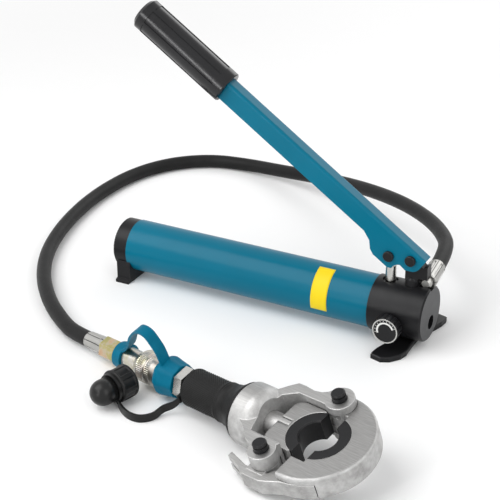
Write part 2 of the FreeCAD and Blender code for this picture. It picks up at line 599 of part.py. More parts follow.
def make_outlet():
    """Small barrel on a stem in the head's notch, with the hose's ferrule behind it."""
    outlet = new_body("outlet_fitting", x="outlet_at", y="outlet_side", z="outlet_height")
    rad, near, far = "outlet_barrel / 2", "-outlet_near", "-outlet_far"
    turned(outlet, "Y", [
        ("0", near), (rad + " - outlet_round", near), (rad, near + " + outlet_round"), (rad, far), ("0", far),
    ])
    low = "(axis_height + head_dia / 2 - outlet_height - outlet_depth + 1)"
    disc(outlet, "XY_Plane", [("0", "-(outlet_near + outlet_far) / 2")], "outlet_stem", "-" + low, low + " / 2")
    shell = new_body("ferrule_pump_end")
    turn = FreeCAD.Rotation(Vector(1, 0, 0), outlet_direction())
    shell.Placement = FreeCAD.Placement(outlet_centre(), turn)
    ferrule(shell, "-outlet_front", "outlet_lead", "ferrule_dia / 2", "ferrule_dia / 2")


def ferrule(body, low, high, low_rad, high_rad):
    """A crimped hose shell with grooves along it, turned about X."""
    rad = "((%s) + (%s)) / 2" % (low_rad, high_rad)
    turned(body, "X", [
        (low, "0"), (low, low_rad + " - ferrule_edge"), (low + " + ferrule_edge", low_rad),
        (high + " - ferrule_edge", high_rad), (high, high_rad + " - ferrule_edge"), (high, "0"),
    ])
    groove = holes(body, "YZ_Plane", [("0", rad + " + crimp_groove / 2 - crimp_depth")], "crimp_groove",
                   "(%s) - (%s) - 2 * crimp_rim" % (high, low), "((%s) + (%s)) / 2" % (high, low))
    around(body, groove, "N_Axis", "crimp_grooves")


def head_point(x):
    return head_placement().multVec(Vector(-size(x), 0, 0))


def make_hose():
    start = outlet_centre() + outlet_direction() * size("outlet_lead")
    spots = [start] + [Vector(*point) for point in HOSE_POINTS]
    spots += [head_point("shell_rear + hose_lead"), head_point("shell_rear")]
    bends = []
    for before, at, after in zip(spots, spots[1:], spots[2:]):
        inward, onward = at - before, after - at
        half = inward.getAngle(onward) / 2
        setback = 0.45 * min(inward.Length, onward.Length)
        inward.normalize()
        onward.normalize()
        radius = setback / math.tan(half)
        first, last = at - inward * setback, at + onward * setback
        towards = (onward - inward).normalize()
        middle = at + towards * (radius / math.cos(half) - radius)
        bends.append((first, middle, last, radius))
    edges = []
    spot = start
    for first, middle, last, radius in bends:
        edges.append(Part.LineSegment(spot, first).toShape())
        edges.append(Part.Arc(first, middle, last).toShape())
        spot = last
    edges.append(Part.LineSegment(spot, spots[-1]).toShape())
    path = Part.Wire(edges)
    section = Part.Wire([Part.Circle(start, spots[1] - start, size("hose_dia") / 2).toShape()])
    plain_part("hose", path.makePipeShell([section], True, True))
    print("hose length %.1f, bend radii %s" % (path.Length, " ".join("%.0f" % bend[3] for bend in bends)))
    full = math.pi * (size("hose_dia") / 2) ** 2 * path.Length
    print("hose volume is %.4f of section times length" % (made["hose"].Shape.Volume / full))


def make_hose_end():
    shell = head_body("ferrule_head_end")
    ferrule(shell, "-shell_rear", "-hex_rear - seat_gap", "ferrule_small / 2", "ferrule_large / 2")
    nut = head_body("hose_end_hex")
    sketch = sketch_on(nut, "YZ_Plane", "-(hex_front + hex_rear) / 2")
    add_outline(sketch, hexagon("hose_hex"))
    feature(nut, "Pad", sketch, "hex_rear - hex_front")
    holes(nut, "YZ_Plane", [("0", "0")], "coupler_stub - 2 * stub_wall + 2 * seat_gap", "2 * (stub_depth + 1)",
          "-hex_front")
    holes(nut, "YZ_Plane", [("0", "0")], "hose_bore", "100", "-hex_front")


def make_coupler():
    inner = head_body("coupler_body")
    bore, small, stub = "nipple_tail_dia / 2 + run_fit", "hose_bore / 2", "coupler_stub / 2"
    turned(inner, "X", [
        ("-coupler_front", bore), ("-coupler_front", "coupler_dia / 2"), ("-coupler_step", "coupler_dia / 2"),
        ("-coupler_step", "neck_dia / 2"), ("-neck_rear", "neck_dia / 2"), ("-neck_rear", stub),
        ("-hex_front + seat_gap", stub), ("-hex_front + seat_gap", stub + " - stub_wall"),
        ("-hex_front - stub_depth", stub + " - stub_wall"), ("-hex_front - stub_depth", small),
        ("-nipple_tail - 2", small), ("-nipple_tail - 2", bore),
    ])
    sleeve = head_body("coupler_sleeve")
    low, high, outer = "-sleeve_rear", "-sleeve_front", "sleeve_dia / 2"
    turned(sleeve, "X", [
        (low, "neck_dia / 2 + run_fit"), (low, "sleeve_tail_dia / 2"), ("-sleeve_taper", outer + " - 0.5"),
        ("-sleeve_taper + 1", outer), (high + " - 1", outer), (high, outer + " - 1"),
        (high, "coupler_dia / 2 + run_fit"), ("-coupler_step - 0.5", "coupler_dia / 2 + run_fit"),
        ("-coupler_step - 0.5", "neck_dia / 2 + run_fit"),
    ])


def make_nipple():
    nipple = head_body("nipple")
    sketch = sketch_on(nipple, "YZ_Plane", "-(nipple_front + nipple_collar) / 2")
    add_outline(sketch, hexagon("nipple_hex"))
    feature(nipple, "Pad", sketch, "nipple_collar - nipple_front")
    disc(nipple, "YZ_Plane", [("0", "0")], "nipple_tail_dia", "nipple_tail - nipple_collar + 1",
         "-(nipple_tail + nipple_collar - 1) / 2")
    disc(nipple, "YZ_Plane", [("0", "0")], "nose_stub", "19", "-nipple_front + 9")
    holes(nipple, "YZ_Plane", [("0", "0")], "hose_bore", "200", "-nipple_front")


def make_blue_cap():
    """Collar on the coupler, a strap over the sleeve, and a ring on the coupler's stub."""
    collar = head_body("blue_collar")
    inner, over = "coupler_dia / 2 + seat_gap", "sleeve_dia / 2 + seat_gap"
    turned(collar, "X", [
        ("-collar_rear", over), ("-collar_rear", "collar_rear_dia / 2"), ("-collar_crown", "collar_dia / 2"),
        ("-collar_waist", "collar_waist_dia / 2"), ("-coupler_front", "collar_front_dia / 2"),
        ("-coupler_front", inner), ("-sleeve_front + seat_gap", inner), ("-sleeve_front + seat_gap", over),
    ])
    doc.recompute()
    place = head_placement()
    axis = place.Rotation.multVec(Vector(1, 0, 0))
    across = place.Rotation.multVec(Vector(0, 1, 0))
    points = [place.multVec(Vector(x, 0, z)) for x, z in BAND_POINTS]
    strap = strap_sweep(points, across, size("band_wide"), size("band_thick"))
    ring = band_ring(head_point("(band_ring_front + band_ring_rear) / 2"), axis, size("coupler_stub / 2 + seat_gap"),
                     size("band_ring_dia / 2"), size("band_ring_rear - band_ring_front"))
    shape = made.pop("blue_collar").Shape.copy()
    bore = Part.makeCylinder(size(inner), size("2 * coupler_front"), head_point("2 * coupler_front"), axis)
    plain_part("blue_dust_cap", shape.fuse([strap.cut(bore), ring]))


def make_black_cap():
    middle = "dust_dia / 2 + dust_clear"
    turn = FreeCAD.Rotation(Vector(0, 0, 1), size("cap_turn"))
    cap = new_body("black_dust_cap", x="cap_x", y="cap_y", z=middle, turn=turn)
    ball, wide, waist = "dust_ball / 2", "dust_dia / 2", "dust_ball / 2 - dust_waist_deep"
    turned(cap, "X", [
        ("-" + ball, "0", ball, -1), ("0", ball), ("dust_body_at - dust_waist", ball),
        ("dust_body_at - dust_waist", waist), ("dust_body_at", waist), ("dust_body_at", wide + " - dust_edge"),
        ("dust_body_at + dust_edge", wide), ("dust_long - dust_edge", wide), ("dust_long", wide + " - dust_edge"),
        ("dust_long", "dust_bore / 2"), ("dust_long - dust_depth", "dust_bore / 2"),
        ("dust_long - dust_depth", "0"),
    ])


def strap_sweep(points, across, wide, thick):
    """A flat strap along a smooth curve, its width kept along the direction given."""
    path = Part.BSplineCurve()
    path.interpolate(points)
    wire = Part.Wire([path.toShape()])
    along = points[1] - points[0]
    along.normalize()
    side = (across - along * across.dot(along)).normalize()
    up = side.cross(along)
    corners = [side * (wide / 2 * a) + up * (thick / 2 * b) + points[0]
               for a, b in ((-1, -1), (1, -1), (1, 1), (-1, 1), (-1, -1))]
    shell = Part.BRepOffsetAPI.MakePipeShell(wire)
    shell.setBiNormalMode(across)
    shell.add(Part.makePolygon(corners), False, False)
    shell.build()
    shell.makeSolid()
    return shell.shape()


def band_ring(centre, axis, inner, outer, width):
    low = centre - axis * (width / 2)
    ring = Part.makeCylinder(outer, width, low, axis)
    return ring.cut(Part.makeCylinder(inner, width, low, axis))


def tab(centre, axis, out, start, end, width, thick):
    """Small flat tongue that leaves a ring."""
    box = Part.makeBox(end - start, width, thick, Vector(start, -width / 2, -thick / 2))
    turn = FreeCAD.Rotation(out, axis, Vector(), "XYZ")
    box.Placement = FreeCAD.Placement(centre, turn).multiply(box.Placement)
    return box


def make_black_strap():
    """Rings round the nipple and the cap's waist, joined by a strap that stands on its edge."""
    thick, tall, reach = size("strap_thick"), size("strap_tall"), size("strap_reach")
    place = head_placement()
    axis = place.Rotation.multVec(Vector(1, 0, 0))
    out = place.Rotation.multVec(Vector(0, -1, 0))
    width = size("strap_ring_rear - strap_ring_front")
    middle = head_point("(strap_ring_rear + strap_ring_front) / 2")
    ring = band_ring(middle, axis, size("nose_stub / 2 + seat_gap"), size("strap_ring_dia / 2"), width)
    ring = ring.fuse(tab(middle, axis, out, size("strap_ring_dia / 2 - 1"), reach + 1, width, tall))
    turn = math.radians(size("cap_turn"))
    cap_axis = Vector(math.cos(turn), math.sin(turn), 0)
    cap_side = Vector(math.sin(turn), -math.cos(turn), 0)
    cap_out = (cap_side * size("loop_lean") - Vector(0, 0, size("loop_drop"))).normalize()
    rear = Vector(size("cap_x"), size("cap_y"), size("dust_dia / 2 + dust_clear"))
    waist = rear + cap_axis * size("dust_body_at - dust_waist / 2")
    inner, wide = size("dust_ball / 2 - dust_waist_deep + seat_gap"), size("loop_wide")
    loop = band_ring(waist, cap_axis, inner, inner + size("loop_wall"), wide)
    loop = loop.fuse(tab(waist, cap_axis, cap_out, inner + 1, size("loop_reach") + 1, wide, size("band_thick")))
    start = waist + cap_out * size("loop_reach")
    points = [start] + [Vector(*point) for point in STRAP_POINTS] + [middle + out * reach]
    strap = strap_sweep(points, Vector(0, 0, 1), tall, thick)
    plain_part("black_cap_strap", ring.fuse([loop, strap]))


def make_head_grip():
    grip = head_body("grip_sleeve")
    gap, bell = "seat_gap", "bell_dia / 2"
    inner, wide = "shank_dia / 2 + seat_gap", "bell_inner / 2 + seat_gap"
    rad = "head_grip_dia / 2"
    turned(grip, "X", [
        ("-grip_rear", inner), ("-grip_rear", rad + " - 1"), ("-grip_rear + 1", rad), ("-bell_rear", rad),
        ("-bell_rear + 14", rad + " + 3"), ("-cyl_rear - 5", bell + " - 1.5"),
        ("-cyl_rear - 2", bell), ("-cyl_rear - seat_gap", bell), ("-cyl_rear - seat_gap", wide),
        ("-bore_rear - 3.6", wide), ("-bore_rear - 9", inner),
    ])


def make_yoke():
    yoke = head_body("cylinder_yoke")
    rad, front, wide, inner = "cyl_dia / 2", "-dome_end", "bell_inner / 2", "shank_dia / 2"
    turned(yoke, "X", [
        ("-grip_rear", "0"), ("-grip_rear", inner), ("-bore_rear - 9", inner),
        ("-bore_rear - 3.6", wide), ("-cyl_rear", wide), ("-cyl_rear", rad + " - 1"), ("-cyl_rear + 1", rad),
        ("-cyl_front", rad, "dome_rad + 1", -1), (front, rad + " - dome_rad"), (front, "0"),
    ])
    # flat forging with two arms
    hx, hy, lx, ly = "hinge_x", "hinge_y", "latch_x", "latch_y"
    padded(yoke, "XY_Plane", [
        ("-yoke_rear", "-cyl_dia / 2 + 6"), ("-dome_end - 6", "-cyl_dia / 2 + 0.5"),
        (lx + " - latch_boss - 9", ly + " + 3"), (lx + " - latch_boss", ly + " - 1"), (lx + " + 6", ly + " + 4"),
        (lx + " + 10", "-window_low"), (lx + " + 10", "0"), (hx, "0"), (hx, hy + " + 9"),
    ] + [("%s + (%s)" % (hx, x), "%s + (%s)" % (hy, y)) for x, y in ARM_POINTS] + [("-yoke_rear", "dome_rad")],
           "arm_thick")
    # window for the die block, with a hollowed rear wall
    window = [
        ("-window_rear", "-window_low"), ("30", "-window_low"), ("30", "window_top"),
        ("-window_slant_top", "window_top"), ("-window_slant_rear", "window_slant_at", "window_rad", 1),
    ]
    pocketed(yoke, "XY_Plane", window, "100")
    # hinge boss above and latch boss below, cut back where the die block passes
    disc(yoke, "XY_Plane", [(hx, hy)], "2 * hinge_boss", "arm_thick")
    disc(yoke, "XY_Plane", [(lx, ly)], "2 * latch_boss", "arm_thick")
    pocketed(yoke, "XY_Plane", window, "yoke_thick + 2 * window_clear")
    # forks for the jaw's tongue and the latch's hub
    holes(yoke, "XY_Plane", [(hx, hy)], "2 * hinge_boss + 0.8", "tongue + 0.6")
    holes(yoke, "XY_Plane", [(lx, ly)], "2 * latch_boss + 0.8", "latch_hub + 0.6")
    holes(yoke, "XY_Plane", [(hx, hy), (lx, ly)], "cross_dia + 2 * seat_gap", "100")
    # ram bore, rod bore and oil way
    holes(yoke, "YZ_Plane", [("0", "0")], "bore_dia", "bore_rear - bore_front", "-(bore_rear + bore_front) / 2")
    holes(yoke, "YZ_Plane", [("0", "0")], "rod_dia + 2 * run_fit", "30", "-bore_front + 5")
    holes(yoke, "YZ_Plane", [("0", "0")], "oil_way", "100", "-grip_rear")
    holes(yoke, "YZ_Plane", [("0", "0")], "nose_stub + 2 * seat_gap", "32", "-grip_rear")


def make_ram():
    ram = head_body("ram")
    rear, rod, rad = "-piston_rear", "rod_dia / 2", "bore_dia / 2 - run_fit"
    groove, lip = "bore_dia / 2 - ram_seal_wall - seat_gap", rear + " + 4.4 + ram_seal_len"
    rod_end = "-block_rear + block_socket - seat_gap"
    turned(ram, "X", [
        (rear, "0"), (rear, rad), (rear + " + 4", rad), (rear + " + 4", groove), (lip, groove),
        (lip, rad), (rear + " + piston_len", rad), (rear + " + piston_len", rod), (rod_end, rod), (rod_end, "0"),
    ])
    pin_hole = ("block_pin_dia + 2 * seat_gap", "block_pin_low + block_pin_top + 1.1",
                "(block_pin_top - block_pin_low - 0.5) / 2")
    holes(ram, "XY_Plane", [("-block_pin_at", "0")], *pin_hole)
    seal = head_body("ram_seal")
    turned(seal, "X", tube_corners(rear + " + 4.2", rear + " + 4.2 + ram_seal_len",
                                   "bore_dia / 2 - ram_seal_wall", "bore_dia / 2 - run_fit"))
    block = head_body("die_block")
    back, half, cut = "-block_rear", "block_half", "-die_shift - die_chord"
    padded(block, "XY_Plane", [
        (back, "-" + half), (cut + " - block_nose", "-" + half), (cut, "-%s + block_nose" % half),
        (cut, half + " - block_nose"), (cut + " - block_nose", half), (back, half),
    ], "yoke_thick")
    soften(block, "corner", "block_round", lambda e: abs(e.Length - size("yoke_thick")) < 0.01
           and e.CenterOfMass.x < -size("block_rear") + 1)
    holes(block, "XY_Plane", [("-die_shift", "0")], "die_dia + 2 * seat_gap", "100")
    holes(block, "YZ_Plane", [("0", "0")], "rod_dia + 2 * seat_gap", "2 * block_socket", back)
    holes(block, "XY_Plane", [("-block_pin_at", "0")], *pin_hole)
    pin = head_body("block_pin", x="-block_pin_at")
    turned(pin, "Z", box_corners("0", "-block_pin_low", "block_pin_dia / 2", "block_pin_top"))


def make_die(name, x, turn):
    """Half of a die set: round back, round bore, flat parting faces."""
    die = head_body(name, x=x, turn=turn)
    outer, inner, chord = "die_dia / 2", "die_bore / 2", "-die_chord"
    far = "sqrt((%s) ^ 2 - die_chord ^ 2)" % outer
    near = "sqrt((%s) ^ 2 - die_chord ^ 2)" % inner
    padded(die, "XY_Plane", [
        (chord, far, outer, 1), ("-" + outer, "0", outer, 1), (chord, "-" + far), (chord, "-" + near, inner, -1),
        ("-" + inner, "0", inner, -1), (chord, near),
    ], "yoke_thick")
    soften(die, "mouth", "die_chamfer", lambda e: is_arc(e, size(inner)), "Chamfer")


def make_jaw():
    jaw = head_body("jaw")
    rad, end, half = "jaw_rad", "-jaw_end", "jaw_half"
    hx, hy = "hinge_x", "hinge_y"
    low = "-sqrt(jaw_rad ^ 2 - jaw_end ^ 2)"
    step = "die_shift + die_chord"
    padded(jaw, "XY_Plane", [
        (end, low, rad, 1), (rad, "0", rad, 1), ("0", rad), ("0", half), (step, half), (step, "-" + half),
        (end, "-" + half),
    ], "yoke_thick")
    soften(jaw, "rim", "jaw_bevel", lambda e: is_arc(e, size(rad)))
    # room for the yoke's fork, then the tongue inside it
    holes(jaw, "XY_Plane", [(hx, hy)], "2 * (hinge_boss + 0.4)", "100")
    padded(jaw, "XY_Plane", [
        (hx, hy + " - tongue_rad + 0.3"), (step, half + " + 0.2"), (hx + " + bridge_out", hy + " - 8"),
        (hx + " + bridge_out", hy + " + 3"), (hx + " + bridge_in", hy + " + 10"), (hx, hy + " + tongue_rad - 0.3"),
    ], "tongue")
    disc(jaw, "XY_Plane", [(hx, hy)], "2 * tongue_rad", "tongue")
    holes(jaw, "XY_Plane", [(hx, hy)], "cross_dia + 2 * run_fit", "100")
    holes(jaw, "XY_Plane", [("die_shift", "0")], "die_dia + 2 * seat_gap", "100")
    # the rim is cut away for the latch's nose, with a notch for its tooth
    floor, over = "jaw_rad - latch_depth", "jaw_rad + 6"
    span = "yoke_thick / 2 + latch_high + lip_gap"
    middle = "(latch_high + lip_gap - yoke_thick / 2) / 2"
    end_angle, start_angle = "latch_nose + nose_gap * 57.3 / jaw_rad", "-100"
    pocketed(jaw, "XY_Plane", [
        polar(floor, start_angle) + (floor, 1), polar(floor, end_angle), polar(over, end_angle),
        polar(over, "tooth_at"), polar(over, start_angle),
    ], span, middle)
    deep = "jaw_rad - latch_depth - tooth_depth"
    rear = "tooth_at - tooth_half + 2 - tooth_gap * 57.3 / jaw_rad"
    front = "tooth_at + tooth_half"
    pocketed(jaw, "XY_Plane", [
        polar(deep, rear) + (deep, 1), polar(deep, front), polar("jaw_rad - latch_depth + 1", front + " + 2"),
        polar("jaw_rad - latch_depth + 1", rear + " - 4"),
    ], span, middle)


def polar(radius, angle):
    return ("(%s) * cos(%s)" % (radius, angle), "(%s) * sin(%s)" % (radius, angle))


def make_latch():
    """Finger lever, hub in the yoke's fork, and a nose that lies in the jaw's rim."""
    latch = head_body("latch_lever")
    lx, ly, nose = "latch_x", "latch_y", "latch_nose"
    clear = "jaw_rad - latch_depth + 0.4"
    deep = "jaw_rad - latch_depth + 0.4 - tooth_depth"
    low = "%s - latch_boss - latch_bar" % ly
    start, first, last = "tooth_at - 16", "tooth_at - tooth_half", "tooth_at + tooth_half"
    inner = polar(clear, "tooth_at - 23")
    padded(latch, "XY_Plane", [
        ("latch_tail_x", "latch_tail_y"), ("latch_tail_x", "latch_tail_y - 5"), (lx + " - 17", low + " + 4.5"),
        (lx + " - 10", low), (lx + " + 10", low + " + 0.5"),
        polar("jaw_rad + 1.5", start) + ("jaw_rad + 14", 1), polar("jaw_rad", "tooth_at") + ("jaw_rad", 1),
        polar("jaw_rad", nose), polar(clear, nose) + (clear, -1), polar(clear, last), polar(deep, last + " - 2")
        + (deep, -1), polar(deep, first + " + 2"), polar(clear, first) + (clear, -1), inner,
        (lx + " + latch_boss + 2.5", "%s - 4" % ly), (lx + " + latch_boss - 1", ly + " - 10"), (lx + " - 12", ly + " - 12"),
    ], "latch_low + latch_high", "(latch_high - latch_low) / 2")
    holes(latch, "XY_Plane", [(lx, ly)], "2 * (latch_boss + 0.4)", "100")
    pocketed(latch, "XY_Plane", box_corners("latch_tail_x - 5", "latch_tail_y - 12", lx + " - 16", "latch_tail_y + 5"),
             "latch_groove", "-3")
    disc(latch, "XY_Plane", [(lx, ly)], "2 * latch_boss - 0.6", "latch_hub")
    padded(latch, "XY_Plane", box_corners(lx + " - 9", ly + " - latch_boss - 2", lx + " + 9", ly + " - 3"), "latch_hub")
    holes(latch, "XY_Plane", [(lx, ly)], "cross_dia + 2 * run_fit", "100")


def make_cross_pins():
    for name, x, y in (("hinge_pin", "hinge_x", "hinge_y"), ("latch_pin", "latch_x", "latch_y")):
        pin = head_body(name, x=x, y=y)
        rad, neck = "cross_dia / 2", "cross_dia / 2 - 1"
        turned(pin, "Z", [
            ("0", "-cross_low"), (rad + " - 1", "-cross_low"), (rad, "-cross_low + 1"), (rad, "cross_groove"),
            (neck, "cross_groove"), (neck, "cross_groove + cross_groove_wide"), (rad, "cross_groove + cross_groove_wide"),
            (rad, "cross_top - 1"), (rad + " - 1", "cross_top"), ("0", "cross_top"),
        ])


make_pump_head()
make_front_foot()
make_foot_screws()
make_reservoir()
make_rear_cap()
make_rear_foot()
make_plunger()
make_gland()
make_post()
make_lever()
make_grip()
make_pivot_pins()
make_release_valve()
make_relief_plug()
make_outlet()
make_hose()
make_hose_end()
make_coupler()
make_nipple()
make_blue_cap()
make_black_cap()
make_black_strap()
make_head_grip()
make_yoke()
make_ram()
make_die("lower_die", "-die_shift", 0)
make_die("upper_die", "die_shift", 180)
make_jaw()
make_latch()
make_cross_pins()
doc.recompute()

bad = [item.Name for item in doc.Objects if "Invalid" in item.State or "Error" in item.State]
for name, item in made.items():
    shape = item.Shape
    if shape.isNull() or not shape.isValid() or not shape.Solids:
        bad.append(name)
if bad:
    raise SystemExit("not built: " + ", ".join(bad))
for name, item in made.items():
    item.Shape.exportStep("parts/%s.step" % name)
    box = item.Shape.BoundBox
    print("%-18s %8.0f mm3  %d  x %.1f %.1f  y %.1f %.1f  z %.1f %.1f" % (
        name, item.Shape.Volume, len(item.Shape.Solids), box.XMin, box.XMax, box.YMin, box.YMax, box.ZMin, box.ZMax))
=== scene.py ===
import math

import bmesh
import bpy
from mathutils import Matrix, Vector


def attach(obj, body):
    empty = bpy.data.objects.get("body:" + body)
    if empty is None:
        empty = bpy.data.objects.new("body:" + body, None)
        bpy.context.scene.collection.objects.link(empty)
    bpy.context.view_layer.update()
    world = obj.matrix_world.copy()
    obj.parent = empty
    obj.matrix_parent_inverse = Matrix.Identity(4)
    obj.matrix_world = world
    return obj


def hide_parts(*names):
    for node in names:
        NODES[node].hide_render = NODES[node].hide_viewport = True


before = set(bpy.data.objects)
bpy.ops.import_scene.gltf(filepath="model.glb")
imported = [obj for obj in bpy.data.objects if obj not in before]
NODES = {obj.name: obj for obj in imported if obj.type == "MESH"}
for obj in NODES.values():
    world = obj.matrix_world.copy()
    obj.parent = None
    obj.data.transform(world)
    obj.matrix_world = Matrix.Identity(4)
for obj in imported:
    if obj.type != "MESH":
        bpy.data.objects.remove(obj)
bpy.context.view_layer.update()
MM = 0.001

# Frame of the crimp head: X along the ram to the jaw, Z out of the flat of the yoke.
HEAD_AT = Vector((23.81, -250.2, 34.48)) * MM
HEAD_YAW, HEAD_PITCH, HEAD_ROLL = math.radians(-17.06), math.radians(4.24), math.radians(16.53)
HEAD = (Matrix.Translation(HEAD_AT) @ Matrix.Rotation(HEAD_YAW, 4, "Z")
        @ Matrix.Rotation(-HEAD_PITCH, 4, "Y") @ Matrix.Rotation(HEAD_ROLL, 4, "X"))

# The hose's route in millimetres, from the pump's ferrule to the head's, as in the part's source.
HOSE_ROUTE = [
    (14.04, 36.48, 65.97), (11, 75, 67.9), (-9, 112, 65.5), (-42, 150, 61), (-89, 190, 53), (-150, 231, 40),
    (-215, 263, 26), (-278, 285, 14), (-330, 295, 8.6), (-378, 288, 8.2), (-418, 257, 8.2), (-442, 209, 8.2),
    (-449, 152, 8.2), (-446, 95, 8.2), (-434, 36, 8.2), (-414, -20, 8.2), (-384, -70, 8.2), (-345, -113, 8.8),
    (-309, -141, 9.2), (-286.99, -154.82, 10.38), (-264.11, -161.84, 12.15),
]
# In metres.
HOSE_DIAMETER = 0.0155


def frame_along(start, after):
    """Frame at start, in millimetres, with X towards after."""
    turn = Vector((1, 0, 0)).rotation_difference(Vector(after) - Vector(start))
    return Matrix.Translation(Vector(start) * MM) @ turn.to_matrix().to_4x4()


PUMP_END = frame_along(HOSE_ROUTE[0], HOSE_ROUTE[1])

# Radii in metres of the painted edge highlights (on paint and blackened steel also of edge wear), of the
# rounded look and of the painted shade in seams; then the darkest that the painted seam shade gets.
FORGED_HIGHLIGHT, TURNED_HIGHLIGHT_AND_WEAR, ZINC_HIGHLIGHT, PAINT_HIGHLIGHT_AND_WEAR = 0.0008, 0.0004, 0.0005, 0.0006
FORGED_ROUND = 0.0014
FORGED_SHADE_REACH, TURNED_SHADE_REACH, SEAM_SHADE_MOST = 0.0025, 0.0018, 0.85


class Shader:
    """A node material; each call adds one node and returns its output."""

    def __init__(self, name):
        self.material = bpy.data.materials.new(name)
        self.material.use_nodes = True
        self.tree = self.material.node_tree
        self.surface = self.tree.nodes["Principled BSDF"]

    def plug(self, target, value):
        """Link an output to a socket, or write a value into it."""
        if isinstance(value, bpy.types.NodeSocket):
            self.tree.links.new(value, target)
        elif isinstance(value, tuple) and len(value) == 3 and target.type == "RGBA":
            target.default_value = value + (1.0,)
        else:
            target.default_value = value

    def set(self, **inputs):
        """Fill the surface's inputs; an underscore stands for a space in a name."""
        for name, value in inputs.items():
            self.plug(self.surface.inputs[name.replace("_", " ")], value)
        return self

    def node(self, kind, settings=None, inputs=None, out=0):
        """Add a node and return the output that out names."""
        node = self.tree.nodes.new(kind)
        for name, value in (settings or {}).items():
            setattr(node, name, value)
        for name, value in (inputs or {}).items():
            self.plug(node.inputs[name], value)
        return node.outputs[out]

    def place(self, stretch=(1, 1, 1), turn=None):
        """Object coordinates, turned into another frame when one is given."""
        spot = self.node("ShaderNodeTexCoord", out=3)
        if turn is not None:
            back = turn.inverted()
            spot = self.node("ShaderNodeMapping", {}, {
                "Vector": spot, "Location": tuple(back.to_translation()), "Rotation": tuple(back.to_euler())})
        return self.node("ShaderNodeVectorMath", {"operation": "MULTIPLY"}, {0: spot, 1: stretch})

    def noise(self, scale, detail=4.0, rough=0.55, vector=None):
        """Fractal noise: its scale per metre, its number of octaves and how strong the fine ones are."""
        inputs = {"Scale": scale, "Detail": detail, "Roughness": rough}
        inputs["Vector"] = vector if vector is not None else self.place()
        return self.node("ShaderNodeTexNoise", {}, inputs)

    def range(self, value, low, high, start=0.0, end=1.0):
        """Carry a value from start..end to low..high."""
        return self.node("ShaderNodeMapRange", {"clamp": True}, {
            "Value": value, "From Min": start, "From Max": end, "To Min": low, "To Max": high})

    def math(self, operation, *values):
        return self.node("ShaderNodeMath", {"operation": operation}, dict(enumerate(values)))

    def mix(self, factor, first, second):
        node = self.tree.nodes.new("ShaderNodeMix")
        node.data_type = "RGBA"
        self.plug(node.inputs[0], factor)
        self.plug(node.inputs[6], first)
        self.plug(node.inputs[7], second)
        return node.outputs[2]

    def ramp(self, value, stops):
        """Colour at a value, from stops of (place, colour)."""
        node = self.tree.nodes.new("ShaderNodeValToRGB")
        self.plug(node.inputs[0], value)
        while len(node.color_ramp.elements) < len(stops):
            node.color_ramp.elements.new(0.5)
        for element, (spot, colour) in zip(node.color_ramp.elements, stops):
            element.position = spot
            element.color = colour + (1.0,)
        return node.outputs[0]

    def bump(self, height, depth, strength=1.0, normal=None):
        inputs = {"Height": height, "Distance": depth, "Strength": strength}
        if normal is not None:
            inputs["Normal"] = normal
        return self.node("ShaderNodeBump", {}, inputs)

    def edges(self, radius):
        """1 at edges, where the rounded normal leaves the face's own, and 0 elsewhere."""
        rounded = self.node("ShaderNodeBevel", {"samples": 4}, {"Radius": radius})
        match = self.node("ShaderNodeVectorMath", {"operation": "DOT_PRODUCT"}, {
            0: rounded, 1: self.node("ShaderNodeNewGeometry", out=1)}, out=1)
        return self.range(match, 1.0, 0.0, 0.80, 0.985)

    def soft_edges(self, radius):
        """Normal that runs round the edges, as on a forging."""
        return self.node("ShaderNodeBevel", {"samples": 6}, {"Radius": radius})

    def seam_shade(self, reach):
        """Painted shade in seams and tight corners, from ambient occlusion: 1 there and 0 in the open."""
        open_sky = self.node("ShaderNodeAmbientOcclusion", {"samples": 6}, {"Distance": reach}, out=1)
        return self.range(open_sky, SEAM_SHADE_MOST, 0.0, 0.12, 0.58)


def blue_paint():
    """Enamel with a faint orange peel, paler where edges are worn."""
    s = Shader("blue_paint")
    worn = s.math("MULTIPLY", s.edges(PAINT_HIGHLIGHT_AND_WEAR), s.range(s.noise(260, 5), 0, 1, 0.45, 0.7))
    colour = s.mix(s.range(s.noise(9, 3), 0, 1, 0.35, 0.7), (0.0, 0.128, 0.206), (0.0, 0.142, 0.228))
    s.set(Base_Color=s.mix(worn, colour, (0.0, 0.19, 0.28)), Roughness=s.range(s.noise(40, 4), 0.25, 0.33),
          Coat_Weight=0.06, Coat_Roughness=0.12, Specular_IOR_Level=0.12)
    return s.set(Normal=s.bump(s.noise(700, 2), 0.00002, 0.3)).material


def black_paint(name="black_paint", end_face=0.0):
    """Satin black with painted highlights along its edges; the end faces along X may be machined a little
    paler.
    """
    s = Shader(name)
    colour = s.mix(s.range(s.noise(35, 5), 0, 1, 0.3, 0.7), (0.007, 0.007, 0.008), (0.013, 0.013, 0.014))
    if end_face:
        facing = s.node("ShaderNodeSeparateXYZ", {}, {0: s.node("ShaderNodeTexCoord", out=1)})
        flat = s.range(s.math("ABSOLUTE", facing), 0.0, end_face, 0.93, 0.98)
        colour = s.mix(flat, colour, s.mix(s.noise(90, 5), (0.028, 0.029, 0.031), (0.046, 0.047, 0.050)))
    # Painted highlight: the edges are lightened towards dark grey.
    s.set(Base_Color=s.mix(s.math("MULTIPLY", s.edges(PAINT_HIGHLIGHT_AND_WEAR), 0.5), colour, (0.07, 0.07, 0.07)),
          Roughness=s.range(s.noise(120, 5), 0.26, 0.38), Specular_IOR_Level=0.18)
    return s.set(Normal=s.bump(s.noise(700, 3), 0.00004, 0.5)).material


def shade_of(level, *parts):
    """Metal colour at a level, each part a share of it."""
    return tuple(level * part for part in parts)


